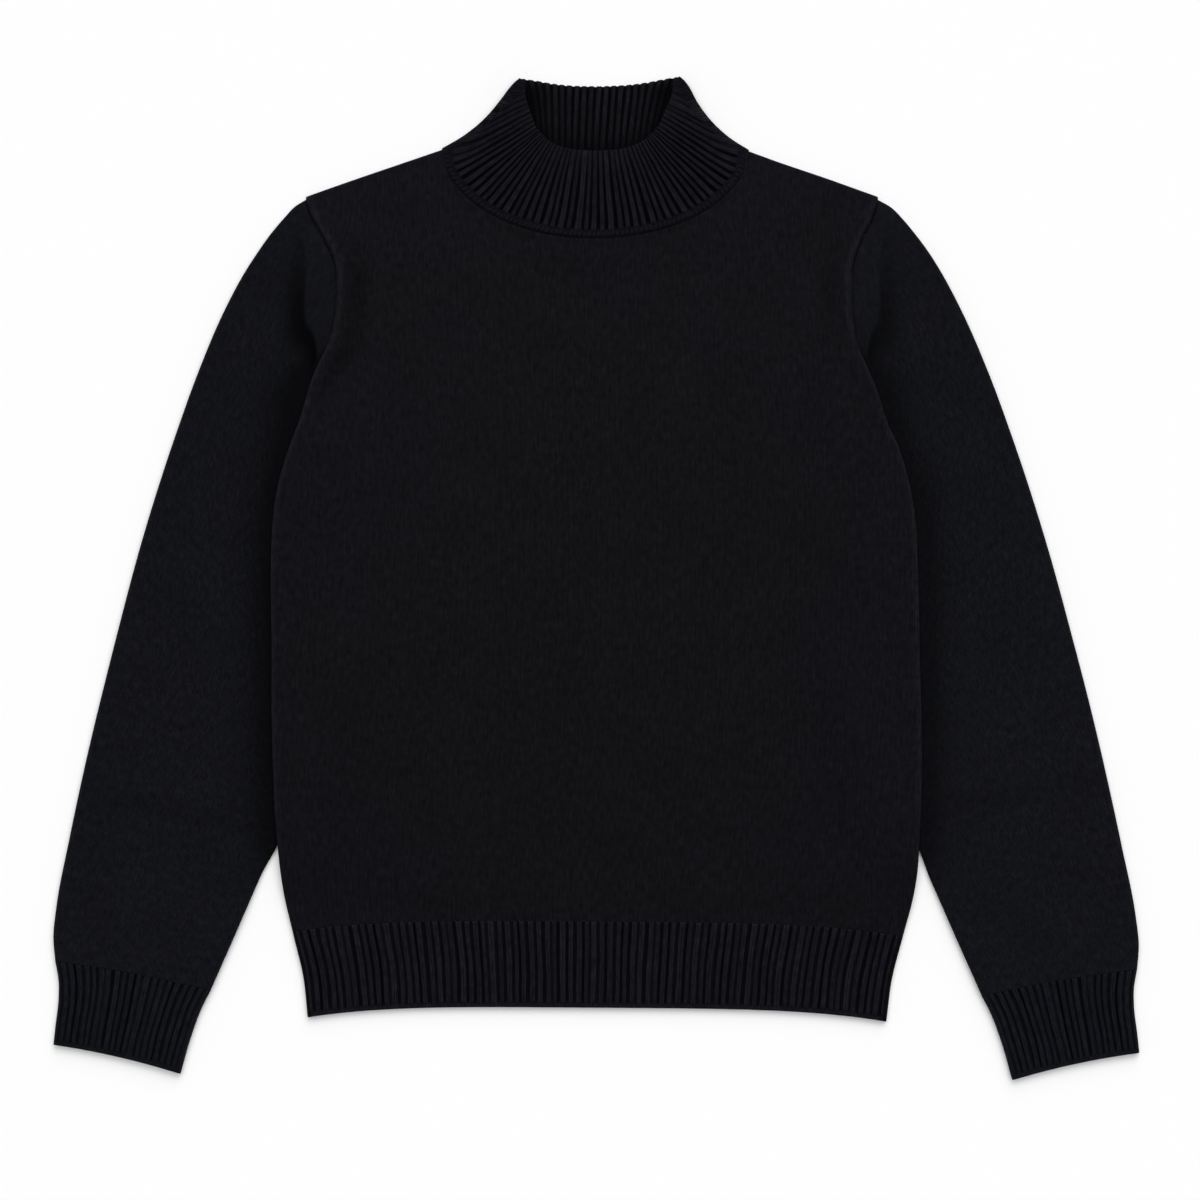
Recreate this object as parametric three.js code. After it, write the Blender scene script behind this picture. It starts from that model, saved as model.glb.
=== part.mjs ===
// Mock-neck sweater laid flat, front up: a fine-gauge jersey body and sleeves with ribbed
// collar, cuffs and hem. Millimetres, +Z up. X runs across the chest, Y from hem to collar,
// and z = 0 is the surface that the sweater lies on. The origin is the middle of its box.
import * as THREE from 'three';

// Driving sizes of the cloth.
const JERSEY = 2.0;            // thickness of one layer of jersey
const RIB_WALL = 2.0;          // thickness of one layer of hem or cuff rib, without the ridges
const COLLAR_WALL = 3.0;       // the collar strip is folded over, so its wall is two layers
const SEAM_GAP = 0.3;          // clearance between pieces that are sewn together
const BODY_HEIGHT = 5.4;       // two jersey layers of the body with the air between them
const SLEEVE_TUCKED = 4.8;     // a sleeve's height where the body lies on it
const SLEEVE_CROWN = 7.0;      // a sleeve's height in its free middle
const BODY_LIFT = 5.4;         // how far the body rises to pass over a sleeve
const LIFT_RAMP = 45;          // width over which the body rises
const LIFT_MARGIN = 14;        // the body is at its full rise this far before the sleeve's fold
const LIFT_TOP = { startY: 250, fullY: 152 };      // where the rise begins under the shoulder
const LIFT_FOOT = { startY: -258, fullY: -198 };   // and where it begins over the hem
const CUFF_HEIGHT = 6.2;
const RIB_DEPTH = 0.9;         // from the top of a rib's ridge down to the groove
const HEM_RIBS = 75;           // ribs across the front of the hem
const CUFF_RIBS = 19;          // ribs across the front of a cuff
const COLLAR_RIBS = 44;        // ribs round the collar's front
const COLLAR_BACK_RIBS = 24;   // ribs inside the collar's back

// Driving lines of the outline.
const NECK = { halfWidth: 110.2, cornerY: 308.2, frontY: 243.4, backY: 291.6 };
const SHOULDER = { neckY: 307.2, slope: -0.358, tipX: 204.7 };
const HEM = { centreY: -309.6, cornerDrop: 8.5, halfWidth: 208.1 };
const HEM_RIB_TOP = { centreY: -247.7, cornerDrop: 8.8, halfWidth: 218.2 };
const UNDERARM = { x: 204.5, y: 77 };

// Edge of the body panels from the shoulder tip down: armhole to y = 150, then the side fold.
const BODY_EDGE = [
  { y: 270.0, x: 204.7 }, { y: 259.9, x: 201.7 }, { y: 242.6, x: 193.3 }, { y: 226.8, x: 188.0 },
  { y: 205.2, x: 186.8 }, { y: 187.9, x: 187.3 }, { y: 175.7, x: 189.4 }, { y: 163.4, x: 192.4 },
  { y: 149.8, x: 198.2 }, { y: 139.0, x: 203.0 }, { y: 115.9, x: 211.2 }, { y: 91.4, x: 220.2 },
  { y: 51.8, x: 230.3 }, { y: 5.0, x: 233.3 }, { y: -70.6, x: 233.9 }, { y: -137.5, x: 233.6 },
  { y: -193.0, x: 231.3 }, { y: -229.7, x: 225.7 }, { y: -260.0, x: 218.2 }, { y: -287.3, x: 211.7 },
  { y: -318.0, x: 208.1 },
];
const ARMHOLE_END = 149.8;     // below this the body's side lies over the sleeve

// Sleeve's end line where it is hidden under the body, from the armhole to the underarm point.
const HIDDEN_ARMHOLE = [
  { y: 149.8, x: 198.2 }, { y: 127.4, x: 198.9 }, { y: 105.8, x: 199.8 }, { y: 91.4, x: 201.6 },
  { y: UNDERARM.y, x: UNDERARM.x },
];

// Outer fold of the sleeve, from the shoulder tip to the cuff.
const SLEEVE_OUTER = [
  { x: 205.0, y: 271.2 }, { x: 214.6, y: 265.7 }, { x: 223.2, y: 257.0 }, { x: 230.4, y: 248.4 },
  { x: 247.0, y: 224.6 }, { x: 266.4, y: 188.6 }, { x: 281.9, y: 152.6 }, { x: 301.7, y: 98.6 },
  { x: 324.7, y: 26.6 }, { x: 344.2, y: -45.4 }, { x: 362.2, y: -117.4 }, { x: 378.0, y: -189.4 },
  { x: 388.1, y: -241.2 }, { x: 390.2, y: -262.0 }, { x: 388.9, y: -279.0 },
];
// Inner fold of the sleeve: under the body from the underarm to y = -193, then free.
const SLEEVE_INNER = [
  { x: 204.5, y: 77.0 }, { x: 194.4, y: 26.6 }, { x: 188.6, y: -31.0 }, { x: 194.0, y: -78.0 },
  { x: 205.8, y: -122.0 }, { x: 231.0, y: -193.0 }, { x: 251.6, y: -241.2 }, { x: 277.0, y: -298.8 },
];
const CUFF_OUTER = [
  { x: 388.9, y: -279.3 }, { x: 386.6, y: -293.0 }, { x: 386.6, y: -304.6 }, { x: 389.2, y: -327.6 },
  { x: 390.4, y: -339.1 },
];
const CUFF_INNER = [
  { x: 277.0, y: -299.1 }, { x: 283.0, y: -310.5 }, { x: 291.6, y: -333.4 }, { x: 299.0, y: -359.4 },
];
const CUFF_LINE_BOW = 2.0;     // rise of the cuff's top and bottom lines at their middle

// Pleat of the sleeve beside the armhole: width of the strip that stays level with the body.
const PLEAT = [
  { y: 271, width: 0 }, { y: 258, width: 5 }, { y: 247, width: 12.1 }, { y: 234, width: 17.8 },
  { y: 219.6, width: 21.9 }, { y: 200.9, width: 23.4 }, { y: 187.9, width: 18.3 },
  { y: 175, width: 14 }, { y: 160.6, width: 7.6 }, { y: 149.8, width: 2 }, { y: 77, width: 2 },
];
const PLEAT_TROUGH = 4.6;      // height of the cloth in the trough outside the strip
const PLEAT_DROP = 2.4;        // how far out the strip's fold reaches its trough
const PLEAT_FLOOR = 6;         // width of the trough's floor
const PLEAT_THICKNESS = 2.5;   // extra thickness of the strip, where the cloth is folded under

// Collar silhouette: how far in it has come from the base's width to the mouth's at each level.
const COLLAR_SIDE = [
  { level: 0, inward: 0 }, { level: 0.094, inward: 0.154 }, { level: 0.199, inward: 0.309 },
  { level: 0.378, inward: 0.526 }, { level: 0.556, inward: 0.689 }, { level: 0.734, inward: 0.817 },
  { level: 0.913, inward: 0.93 }, { level: 1, inward: 1 },
];
// Edge of the mouth from its corner to its middle, by share of the ribs.
const MOUTH_FRONT = [
  { share: 0, x: 61.4, y: 356.2 }, { share: 0.035, x: 57.6, y: 359.4 }, { share: 0.056, x: 54.4, y: 356.4 },
  { share: 0.19, x: 52.4, y: 345.6 }, { share: 0.34, x: 49.3, y: 336.2 }, { share: 0.47, x: 45.7, y: 327.6 },
  { share: 0.615, x: 38.5, y: 317.5 }, { share: 0.71, x: 31.7, y: 311.8 }, { share: 0.85, x: 17.0, y: 306.9 },
  { share: 1, x: 0, y: 305.6 },
];
const MOUTH_BACK = [
  { share: 0, x: 61.4, y: 356.2 }, { share: 0.03, x: 57.6, y: 359.0 }, { share: 0.1, x: 51.0, y: 357.0 },
  { share: 0.2, x: 43.6, y: 355.3 }, { share: 0.36, x: 34.0, y: 353.1 }, { share: 0.6, x: 20.0, y: 351.9 },
  { share: 1, x: 0, y: 351.5 },
];
// Height of the collar's front layer from its base seam to the mouth.
const COLLAR_CROWN = [
  { level: 0, top: 6.9 }, { level: 0.09, top: 7.3 }, { level: 0.12, top: 7.2 }, { level: 0.35, top: 8.8 },
  { level: 0.7, top: 9.8 }, { level: 0.94, top: 9.6 }, { level: 1, top: 8.2 },
];
const COLLAR_LEVELS = {
  outer: [0, 0.09, 0.13, 0.3, 0.5, 0.72, 0.94, 1],
  inner: [0, 0.12, 0.3, 0.5, 0.72, 0.94, 1],
};
const RIBBED_LEVELS = { from: 0.11, to: 0.99 };    // below is the plain linked edge

// Reads a column of a table at a value of another, straight between its rows.
function lookUp(table, key, value, column) {
  const up = table[table.length - 1][key] > table[0][key];
  const rows = up ? table : [...table].reverse();
  if (value <= rows[0][key]) return rows[0][column];
  for (let i = 1; i < rows.length; i++) {
    if (value <= rows[i][key]) {
      const share = (value - rows[i - 1][key]) / (rows[i][key] - rows[i - 1][key]);
      return rows[i - 1][column] + share * (rows[i][column] - rows[i - 1][column]);
    }
  }
  return rows[rows.length - 1][column];
}

const mix = (a, b, share) => a + (b - a) * share;
const clamp01 = (value) => Math.min(1, Math.max(0, value));
const smooth = (value) => clamp01(value) ** 2 * (3 - 2 * clamp01(value));
// Share of the full height at a distance from a rounded fold of the given radius.
const roundEdge = (distance, radius) => Math.sqrt(1 - (1 - clamp01(distance / radius)) ** 2);

// Point at a share of the length of a polyline of {x, y} rows.
function along(line, share) {
  const lengths = [0];
  for (let i = 1; i < line.length; i++) {
    lengths.push(lengths[i - 1] + Math.hypot(line[i].x - line[i - 1].x, line[i].y - line[i - 1].y));
  }
  const rows = line.map((point, i) => ({ ...point, share: lengths[i] / lengths[line.length - 1] }));
  return { x: lookUp(rows, 'share', share, 'x'), y: lookUp(rows, 'share', share, 'y') };
}

const evenly = (count) => Array.from({ length: count + 1 }, (_, i) => i / count);
const bodyEdge = (y) => lookUp(BODY_EDGE, 'y', y, 'x');
const hemLine = (line, x) => line.centreY - line.cornerDrop * (x / line.halfWidth) ** 4;
const bowed = (t) => 4 * t * (1 - t);

// A closed wall between an outer grid and an inner grid of points, rows of columns. Each grid
// has labels for its columns and rows, and the rims join unlike grids by these labels.
function wall(outer, inner, ring = false) {
  const positions = [];
  const index = [];
  const place = (grid) => grid.points.map((row) => row.map((p) => {
    positions.push(p.x, p.y, p.z);
    return positions.length / 3 - 1;
  }));
  const top = place(outer);
  const under = place(inner);
  const wrap = (row) => (ring ? [...row, row[0]] : row);
  const face = (rows, flip) => {
    for (let j = 0; j + 1 < rows.length; j++) {
      const a = wrap(rows[j]);
      const b = wrap(rows[j + 1]);
      for (let i = 0; i + 1 < a.length; i++) {
        const corners = [a[i], a[i + 1], b[i + 1], a[i], b[i + 1], b[i]];
        if (flip) corners.reverse();
        index.push(...corners);
      }
    }
  };
  const rim = (a, aLabels, b, bLabels, flip) => {
    let i = 0;
    let k = 0;
    while (i + 1 < a.length || k + 1 < b.length) {
      const stepOuter = k + 1 >= b.length || (i + 1 < a.length && aLabels[i + 1] <= bLabels[k + 1]);
      const corners = stepOuter ? [a[i + 1], a[i], b[k]] : [a[i], b[k], b[k + 1]];
      if (flip) corners.reverse();
      index.push(...corners);
      if (stepOuter) i++;
      else k++;
    }
  };
  face(top, false);
  face(under, true);
  const ends = (labels) => (ring ? [...labels, labels[0] + 1] : labels);
  const last = (rows) => rows[rows.length - 1];
  rim(wrap(top[0]), ends(outer.columns), wrap(under[0]), ends(inner.columns), false);
  rim(wrap(last(top)), ends(outer.columns), wrap(last(under)), ends(inner.columns), true);
  if (!ring) {
    const side = (rows, at) => rows.map((row) => row.at(at));
    rim(side(top, 0), outer.rows, side(under, 0), inner.rows, true);
    rim(side(top, -1), outer.rows, side(under, -1), inner.rows, false);
  }
  const geometry = new THREE.BufferGeometry();
  geometry.setAttribute('position', new THREE.Float32BufferAttribute(positions, 3));
  geometry.setIndex(index);
  return facingOut(geometry);
}

// Turns every triangle round if the wall's volume comes out negative.
function facingOut(geometry) {
  const position = geometry.attributes.position;
  const index = Array.from(geometry.index.array);
  const corner = (i) => new THREE.Vector3().fromBufferAttribute(position, index[i]);
  let volume = 0;
  for (let i = 0; i < index.length; i += 3) volume += corner(i).dot(corner(i + 1).cross(corner(i + 2)));
  if (volume < 0) geometry.setIndex(index.reverse());
  geometry.computeVertexNormals();
  return geometry;
}

// Columns of ribs between two shares: the two ends of each ridge's top, then its groove.
function ribColumns(count, from = 0, to = 1) {
  const columns = [];
  for (let i = 0; i < count; i++) {
    for (const [share, height] of [[0, 0], [0.22, 1], [0.78, 1]]) {
      columns.push({ at: mix(from, to, (i + share) / count), height });
    }
  }
  columns.push({ at: to, height: 0 });
  return columns;
}

// Rise of the body over the sleeve that is tucked under its side.
const INNER_FOLD_BY_Y = [{ y: 250, x: 190 }, { y: 150, x: 192 }, ...SLEEVE_INNER];
function bodyLift(x, y) {
  const fold = lookUp(INNER_FOLD_BY_Y, 'y', y, 'x');
  const across = smooth((Math.abs(x) - (fold - LIFT_MARGIN - LIFT_RAMP)) / LIFT_RAMP);
  const fromShoulder = smooth((LIFT_TOP.startY - y) / (LIFT_TOP.startY - LIFT_TOP.fullY));
  const aboveHem = smooth((y - LIFT_FOOT.startY) / (LIFT_FOOT.fullY - LIFT_FOOT.startY));
  return BODY_LIFT * across * fromShoulder * aboveHem;
}

// Body panels

const EDGE_INSETS = [0, 0.8, 2.7];
const EDGE_ZONE = 8;           // the panel's even columns and rows end this far from its edge
const NECK_GAP = 0.4;          // clearance between a panel's neck edge and the collar
const NECK_DEGREES = [0, 15, 30, 45, 57, 68, 77, 84, 90];
const SHOULDER_COLUMNS = [130, 155, 178, SHOULDER.tipX - EDGE_ZONE];
const COLUMNS_STRAIGHT = { startY: 190, fullY: 240 };    // above, the columns no longer follow the edge
const ARMHOLE_EASE = 14;       // height over which the side fold opens into the armhole
const shoulderY = (x) => SHOULDER.neckY + SHOULDER.slope * (x - NECK.halfWidth);

// Neckline as straight stretches, shared by a panel and the collar's base.
function neckline(bottomY) {
  return NECK_DEGREES.map((degrees) => {
    const angle = THREE.MathUtils.degToRad(degrees);
    const y = NECK.cornerY - (NECK.cornerY - bottomY) * Math.cos(angle);
    return { x: NECK.halfWidth * Math.sin(angle), y };
  });
}

// Half columns of a panel from its middle to its edge, each with its place at the shoulder.
function panelColumns() {
  const columns = [];
  for (const { x } of neckline(NECK.frontY)) {
    columns.push({ x: x * (1 + NECK_GAP / NECK.halfWidth), neckX: x, onNeck: x < NECK.halfWidth - 0.01 });
  }
  for (const x of SHOULDER_COLUMNS) columns.push({ x, onNeck: false });
  for (const inset of [...EDGE_INSETS].reverse()) {
    columns.push({ x: SHOULDER.tipX - inset, inset, onNeck: false });
  }
  const mirrored = columns.slice(1).reverse().map((c) => ({ ...c, side: -1 }));
  return [...mirrored, ...columns.map((c) => ({ ...c, side: 1 }))];
}

// Rows of a panel, named by the height at which they meet its edge.
const PANEL_ROWS = [
  -260, -229.7, -193, -150, -105, -50, 5, 51.8, 91.4, 115.9, 139, 149.8, 163.4, 175.7, 187.9, 205.2, 226.8,
  242.6, 259.9,
];
const LOW_ROW = PANEL_ROWS[0];
const TOP_ROW = PANEL_ROWS[PANEL_ROWS.length - 1];
const SHOULDER_ROW_GAP = shoulderY(SHOULDER.tipX) - TOP_ROW;
const INNER_ROWS_FROM = 100;   // above this height the inner face keeps every row

// One panel. side is 1 for the front, which is above, and -1 for the back, which is below.
function panel(side, neckBottom) {
  const middle = BODY_HEIGHT / 2;
  const radius = BODY_HEIGHT / 2;
  const columns = panelColumns();
  const rows = [
    ...PANEL_ROWS.map((y) => ({ y, share: (y - LOW_ROW) / (TOP_ROW - LOW_ROW) })),
    ...[...EDGE_INSETS].reverse().map((inset) => ({ share: 1, inset })),
  ];
  const neck = neckline(neckBottom);
  const evenReach = SHOULDER.tipX - EDGE_ZONE;
  const plan = (column, row) => {
    // Columns follow the edge low down, and stand straight near the neck.
    const place = (edge, y = 0) => {
      if (column.inset !== undefined) return edge - column.inset;
      const fromEdge = clamp01((evenReach - column.x) / (evenReach - NECK.halfWidth - NECK_GAP));
      const high = (y - COLUMNS_STRAIGHT.startY) / (COLUMNS_STRAIGHT.fullY - COLUMNS_STRAIGHT.startY);
      return column.x * mix((edge - EDGE_ZONE) / evenReach, 1, smooth(high) * fromEdge);
    };
    const bottom = hemLine(HEM_RIB_TOP, place(HEM_RIB_TOP.halfWidth)) + SEAM_GAP;
    const full = column.onNeck ? lookUp(neck, 'x', column.neckX, 'y') - NECK_GAP : shoulderY(column.x);
    const high = full - (full - bottom) * (SHOULDER_ROW_GAP / (shoulderY(SHOULDER.tipX) - LOW_ROW));
    const y = row.inset === undefined ? mix(bottom, high, row.share) : full - row.inset;
    return { x: column.side * place(bodyEdge(y), y), y, top: full, edge: bodyEdge(y) };
  };
  // Share of the height, which falls to the middle at the side folds and the shoulder folds.
  const height = (column, row, p, reach) => {
    const open = smooth((p.y - ARMHOLE_END) / ARMHOLE_EASE);
    const fromSide = (p.edge - Math.abs(p.x)) / reach;
    const sideFold = mix(roundEdge(fromSide, 1), 1, open);
    const shoulderFold = column.onNeck ? 1 : roundEdge((p.top - p.y) / reach, 1);
    return Math.min(sideFold, shoulderFold);
  };
  const layer = (cols, rws, reach, thickness) => rws.map((row) => cols.map((column) => {
    const p = plan(column, row);
    const share = height(column, row, p, radius);
    const half = Math.max(reach * share, SEAM_GAP / 2);
    const inward = thickness * (1 - share);
    const onShoulder = row.inset !== undefined && !column.onNeck;
    const nearSide = column.inset !== undefined && p.y < ARMHOLE_END + ARMHOLE_EASE;
    const x = nearSide ? p.x - column.side * inward : p.x;
    const y = onShoulder && !nearSide ? p.y - inward : p.y;
    return new THREE.Vector3(x, y, middle + side * half + bodyLift(p.x, p.y));
  }));
  const keepRow = (r, i) => r.inset !== undefined || i % 2 === 0 || r.y > INNER_ROWS_FROM;
  const label = (items) => items.map((_, i) => i);
  const innerRows = rows.filter(keepRow);
  const outer = { points: layer(columns, rows, radius, 0), columns: label(columns), rows: label(rows) };
  const inner = {
    points: layer(columns, innerRows, radius - JERSEY, JERSEY),
    columns: label(columns),
    rows: innerRows.map((r) => rows.indexOf(r)),
  };
  return wall(outer, inner);
}

// Hem ribs

const RIB_ENDS = { foot: 0.05, head: 0.97 };   // shares of the height where the ribs are full
const PLAIN_HEM_COLUMNS = 24;

function hemRib(side) {
  const radius = BODY_HEIGHT / 2;
  const plain = evenly(PLAIN_HEM_COLUMNS).map((t) => ({ at: 2 * t - 1, height: 0 }));
  const ribs = side > 0 ? ribColumns(HEM_RIBS, -1, 1) : plain;
  const rows = [
    { at: 0, ribbed: 0 }, { at: RIB_ENDS.foot, ribbed: 1 },
    { at: RIB_ENDS.head, ribbed: 1 }, { at: 1, ribbed: 0 },
  ];
  const cornerY = { low: HEM.centreY - HEM.cornerDrop, high: HEM_RIB_TOP.centreY - HEM_RIB_TOP.cornerDrop };
  const point = (column, row, inside) => {
    const edge = bodyEdge(mix(cornerY.low, cornerY.high, row.at));
    const x = column.at * (edge - (inside ? RIB_WALL * Math.abs(column.at) ** 8 : 0));
    const y = mix(hemLine(HEM, x), hemLine(HEM_RIB_TOP, x), row.at);
    const share = roundEdge(edge * (1 - Math.abs(column.at)), radius);
    const ridge = side > 0 && !inside ? (column.height - 0.5) * RIB_DEPTH * row.ribbed * share : 0;
    const half = Math.max(share * (inside ? radius - RIB_WALL : radius), SEAM_GAP / 2) + ridge;
    return new THREE.Vector3(x, y, radius + side * Math.max(half, SEAM_GAP / 2));
  };
  const grid = (columns, rws, inside) => ({
    points: rws.map((row) => columns.map((column) => point(column, row, inside))),
    columns: columns.map((c) => c.at),
    rows: rws.map((r) => r.at),
  });
  return wall(grid(ribs, rows, false), grid(plain, [rows[0], rows[3]], true));
}

// Flat tubes: sleeves and cuffs

// Stations round a flat tube: along its front from the outer fold to the inner fold, then back.
// A station is a share of the way, or an inset from one fold.
function tubeStations(front, back, insets) {
  const stations = [{ end: 0, inset: 0, side: 0 }];
  const bend = insets.map((inset) => ({ inset }));
  bend.forEach((b) => stations.push({ end: 0, ...b, side: 1 }));
  front.forEach((f) => stations.push({ ...f, side: 1 }));
  [...bend].reverse().forEach((b) => stations.push({ end: 1, ...b, side: 1 }));
  stations.push({ end: 1, inset: 0, side: 0 });
  bend.forEach((b) => stations.push({ end: 1, ...b, side: -1 }));
  back.forEach((f) => stations.push({ ...f, side: -1 }));
  [...bend].reverse().forEach((b) => stations.push({ end: 0, ...b, side: -1 }));
  return stations.map((s, i) => ({ ...s, label: i }));
}

// Ring of points for one row of a tube. place(share) gives the plan point, top(share, plan)
// the height there, and ridge(station) what a rib adds.
function tubeRow(stations, row, thickness) {
  const length = row.length;
  return stations.map((station) => {
    const inset = station.at === undefined ? station.inset : undefined;
    let share = station.at;
    let distance = 1e3;
    if (inset !== undefined) {
      const reach = row.top(station.end, row.place(station.end)) / 2;
      const moved = thickness + inset * (reach - thickness) / reach;
      share = Math.abs(station.end - Math.min(0.4, moved / length));
      distance = inset;
    }
    const plan = row.place(share);
    const top = row.top(share, plan);
    const half = top / 2;
    const profile = roundEdge(distance, half);
    const extra = thickness > 0 && station.side > 0 ? row.extra(plan) : 0;
    const reach = Math.max(half - thickness - extra, -half + thickness + 0.5);
    const ridge = thickness > 0 ? 0 : row.ridge(station) * profile;
    const z = half + station.side * (station.side > 0 ? reach : half - thickness) * profile + ridge;
    return new THREE.Vector3(plan.x, plan.y, z);
  });
}

const FOLD_INSETS = [0.35, 1.2, 2.4];
const FAN_START = 0.085;       // share of the sleeve's length where its even rows begin
const FAN_ROWS = [FAN_START, 0.15, 0.23, 0.32, 0.42, 0.53, 0.65, 0.77, 0.88, 0.95, 1];
const NEAR_LIMIT = 0.92;       // rows by the armhole stay within this share of the first even row
const FOLD_WIDTH = 1.6;
const FOLD_ROUND = 0.7;        // how far the strip has come down at its fold
const CROWN_RAMP = 35;         // width over which the sleeve rises to its full height
const CROWN_MARGIN = { side: 3, pleat: 6 };
const STRIP_END = { fullY: 172, doneY: 152 };     // the strip sinks under the body between these
const PLEAT_START = { doneY: 264, fullY: 234 };   // and the pleat opens between these
const HIDDEN_SHARES = [0.74, 0.85, 0.93];         // stations on the part under the body

function sleeve(side) {
  const armhole = (y) => (y > ARMHOLE_END ? bodyEdge(y) : lookUp(HIDDEN_ARMHOLE, 'y', y, 'x')) + SEAM_GAP;
  const tipY = SLEEVE_OUTER[0].y;
  const yAt = (t) => mix(tipY, UNDERARM.y, t);
  const foldLine = (y) => armhole(y) + lookUp(PLEAT, 'y', y, 'width');
  const surface = (t, v) => {
    const outer = along(SLEEVE_OUTER, v);
    const inner = along(SLEEVE_INNER, v);
    const bow = (1 - v) ** 5 * (armhole(yAt(t)) - mix(SLEEVE_OUTER[0].x, UNDERARM.x, t));
    const y = mix(outer.y, inner.y, t) + CUFF_LINE_BOW * v ** 6 * bowed(t);
    return { x: mix(outer.x, inner.x, t) + bow, y };
  };
  // Rows beside the armhole lie at set distances from it: seam, strip, fold and trough.
  const width = (y) => lookUp(PLEAT, 'y', y, 'width');
  const nearRows = [
    { reach: () => 0, kind: 'strip' },
    { reach: (y) => width(y) * 0.85 + FOLD_WIDTH / 2, kind: 'strip' },
    { reach: (y) => width(y) + FOLD_WIDTH, kind: 'fold' },
    { reach: (y) => width(y) + FOLD_WIDTH + PLEAT_DROP, kind: 'trough' },
    { reach: (y) => width(y) + FOLD_WIDTH + PLEAT_DROP + PLEAT_FLOOR, kind: 'trough' },
  ];
  const crown = (plan) => {
    const overBody = bodyEdge(plan.y) + CROWN_MARGIN.side;
    const edge = plan.y < ARMHOLE_END ? overBody : foldLine(plan.y) + CROWN_MARGIN.pleat;
    return mix(SLEEVE_TUCKED, SLEEVE_CROWN, smooth((plan.x - edge) / CROWN_RAMP));
  };
  const strip = (y, drop) => {
    const level = BODY_HEIGHT + bodyLift(bodyEdge(y), y) - drop;
    return mix(level, SLEEVE_TUCKED, smooth((STRIP_END.fullY - y) / (STRIP_END.fullY - STRIP_END.doneY)));
  };
  const pleated = (y) => smooth((PLEAT_START.doneY - y) / (PLEAT_START.doneY - PLEAT_START.fullY));
  const heights = {
    strip: (plan, y) => strip(y, 0),
    fold: (plan, y) => (y > ARMHOLE_END ? strip(y, FOLD_ROUND) : crown(plan)),
    trough: (plan, y) => mix(mix(strip(y, 0), crown(plan), 0.6), PLEAT_TROUGH, pleated(y)),
    crown: (plan) => crown(plan),
  };
  const makeRow = (spec) => {
    const at = (t) => {
      if (spec.v !== undefined) return surface(t, spec.v);
      const start = surface(t, 0);
      const end = surface(t, FAN_START);
      const reach = spec.reach(yAt(t));
      const share = reach / Math.hypot(end.x - start.x, end.y - start.y);
      return surface(t, FAN_START * Math.min(NEAR_LIMIT, share));
    };
    const first = at(0);
    const last = at(1);
    return {
      place: at,
      length: Math.hypot(last.x - first.x, last.y - first.y),
      top: (t, plan) => heights[spec.kind](plan, yAt(t)),
      extra: (p) => (spec.kind === 'strip' && p.y > ARMHOLE_END ? PLEAT_THICKNESS * pleated(p.y) : 0),
      ridge: () => 0,
    };
  };
  const rows = [...nearRows, ...FAN_ROWS.map((v) => ({ v, kind: 'crown' }))];
  // The front's stations meet the armhole at the same heights as the panel's rows.
  const besideSeam = PANEL_ROWS.filter((y) => y >= ARMHOLE_END).reverse();
  const seamShares = besideSeam.map((y) => (y - tipY) / (UNDERARM.y - tipY));
  const front = [...seamShares, ...HIDDEN_SHARES].map((at) => ({ at }));
  const back = [...front].reverse().filter((_, i) => i % 2 === 0);
  const stations = tubeStations(front, back, FOLD_INSETS);
  const grid = (list, rws, thickness) => ({
    points: rws.map((spec) => tubeRow(list, makeRow(spec), thickness)),
    columns: list.map((s) => s.label / stations.length),
    rows: rws.map((_, i) => i),
  });
  const inner = stations.filter((s) => s.at !== undefined || s.side === 0 || s.inset === FOLD_INSETS[2]);
  return mirrorTo(side, wall(grid(stations, rows, 0), grid(inner, rows, JERSEY), true));
}

const CUFF_FOLD_SHARE = 0.035;   // share of a cuff's width taken by each side fold
const PLAIN_CUFF_COLUMNS = 6;
const CUFF_INNER_STEP = 9;       // the inner face keeps one column in this many

function cuff(side) {
  const rows = [
    { v: 0, ribbed: 0 }, { v: 0.06, ribbed: 1 }, { v: 0.95, ribbed: 1 }, { v: 1, ribbed: 0 },
  ];
  const makeRow = (spec) => {
    const outer = along(CUFF_OUTER, spec.v);
    const inner = along(CUFF_INNER, spec.v);
    const lineY = (t) => mix(outer.y, inner.y, t) + CUFF_LINE_BOW * bowed(t);
    return {
      place: (t) => ({ x: mix(outer.x, inner.x, t), y: lineY(t) }),
      length: Math.hypot(outer.x - inner.x, outer.y - inner.y),
      top: () => CUFF_HEIGHT,
      extra: () => 0,
      ridge: (station) => (station.side > 0 ? ((station.height ?? 0) - 0.5) * RIB_DEPTH * spec.ribbed : 0),
    };
  };
  const front = ribColumns(CUFF_RIBS, CUFF_FOLD_SHARE, 1 - CUFF_FOLD_SHARE);
  const back = evenly(PLAIN_CUFF_COLUMNS).map((t) => ({ at: mix(1 - CUFF_FOLD_SHARE, CUFF_FOLD_SHARE, t) }));
  const stations = tubeStations(front, back, FOLD_INSETS);
  const grid = (list, thickness) => ({
    points: rows.map((spec) => tubeRow(list, makeRow(spec), thickness)),
    columns: list.map((s) => s.label / stations.length),
    rows: rows.map((r) => r.v),
  });
  const inner = stations.filter((s, i) => s.side < 1 || s.inset !== undefined || i % CUFF_INNER_STEP === 0);
  return mirrorTo(side, wall(grid(stations, 0), grid(inner, RIB_WALL), true));
}

function mirrorTo(side, geometry) {
  if (side > 0) return geometry;
  geometry.scale(-1, 1, 1);
  return facingOut(geometry);
}

// Collar

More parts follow.
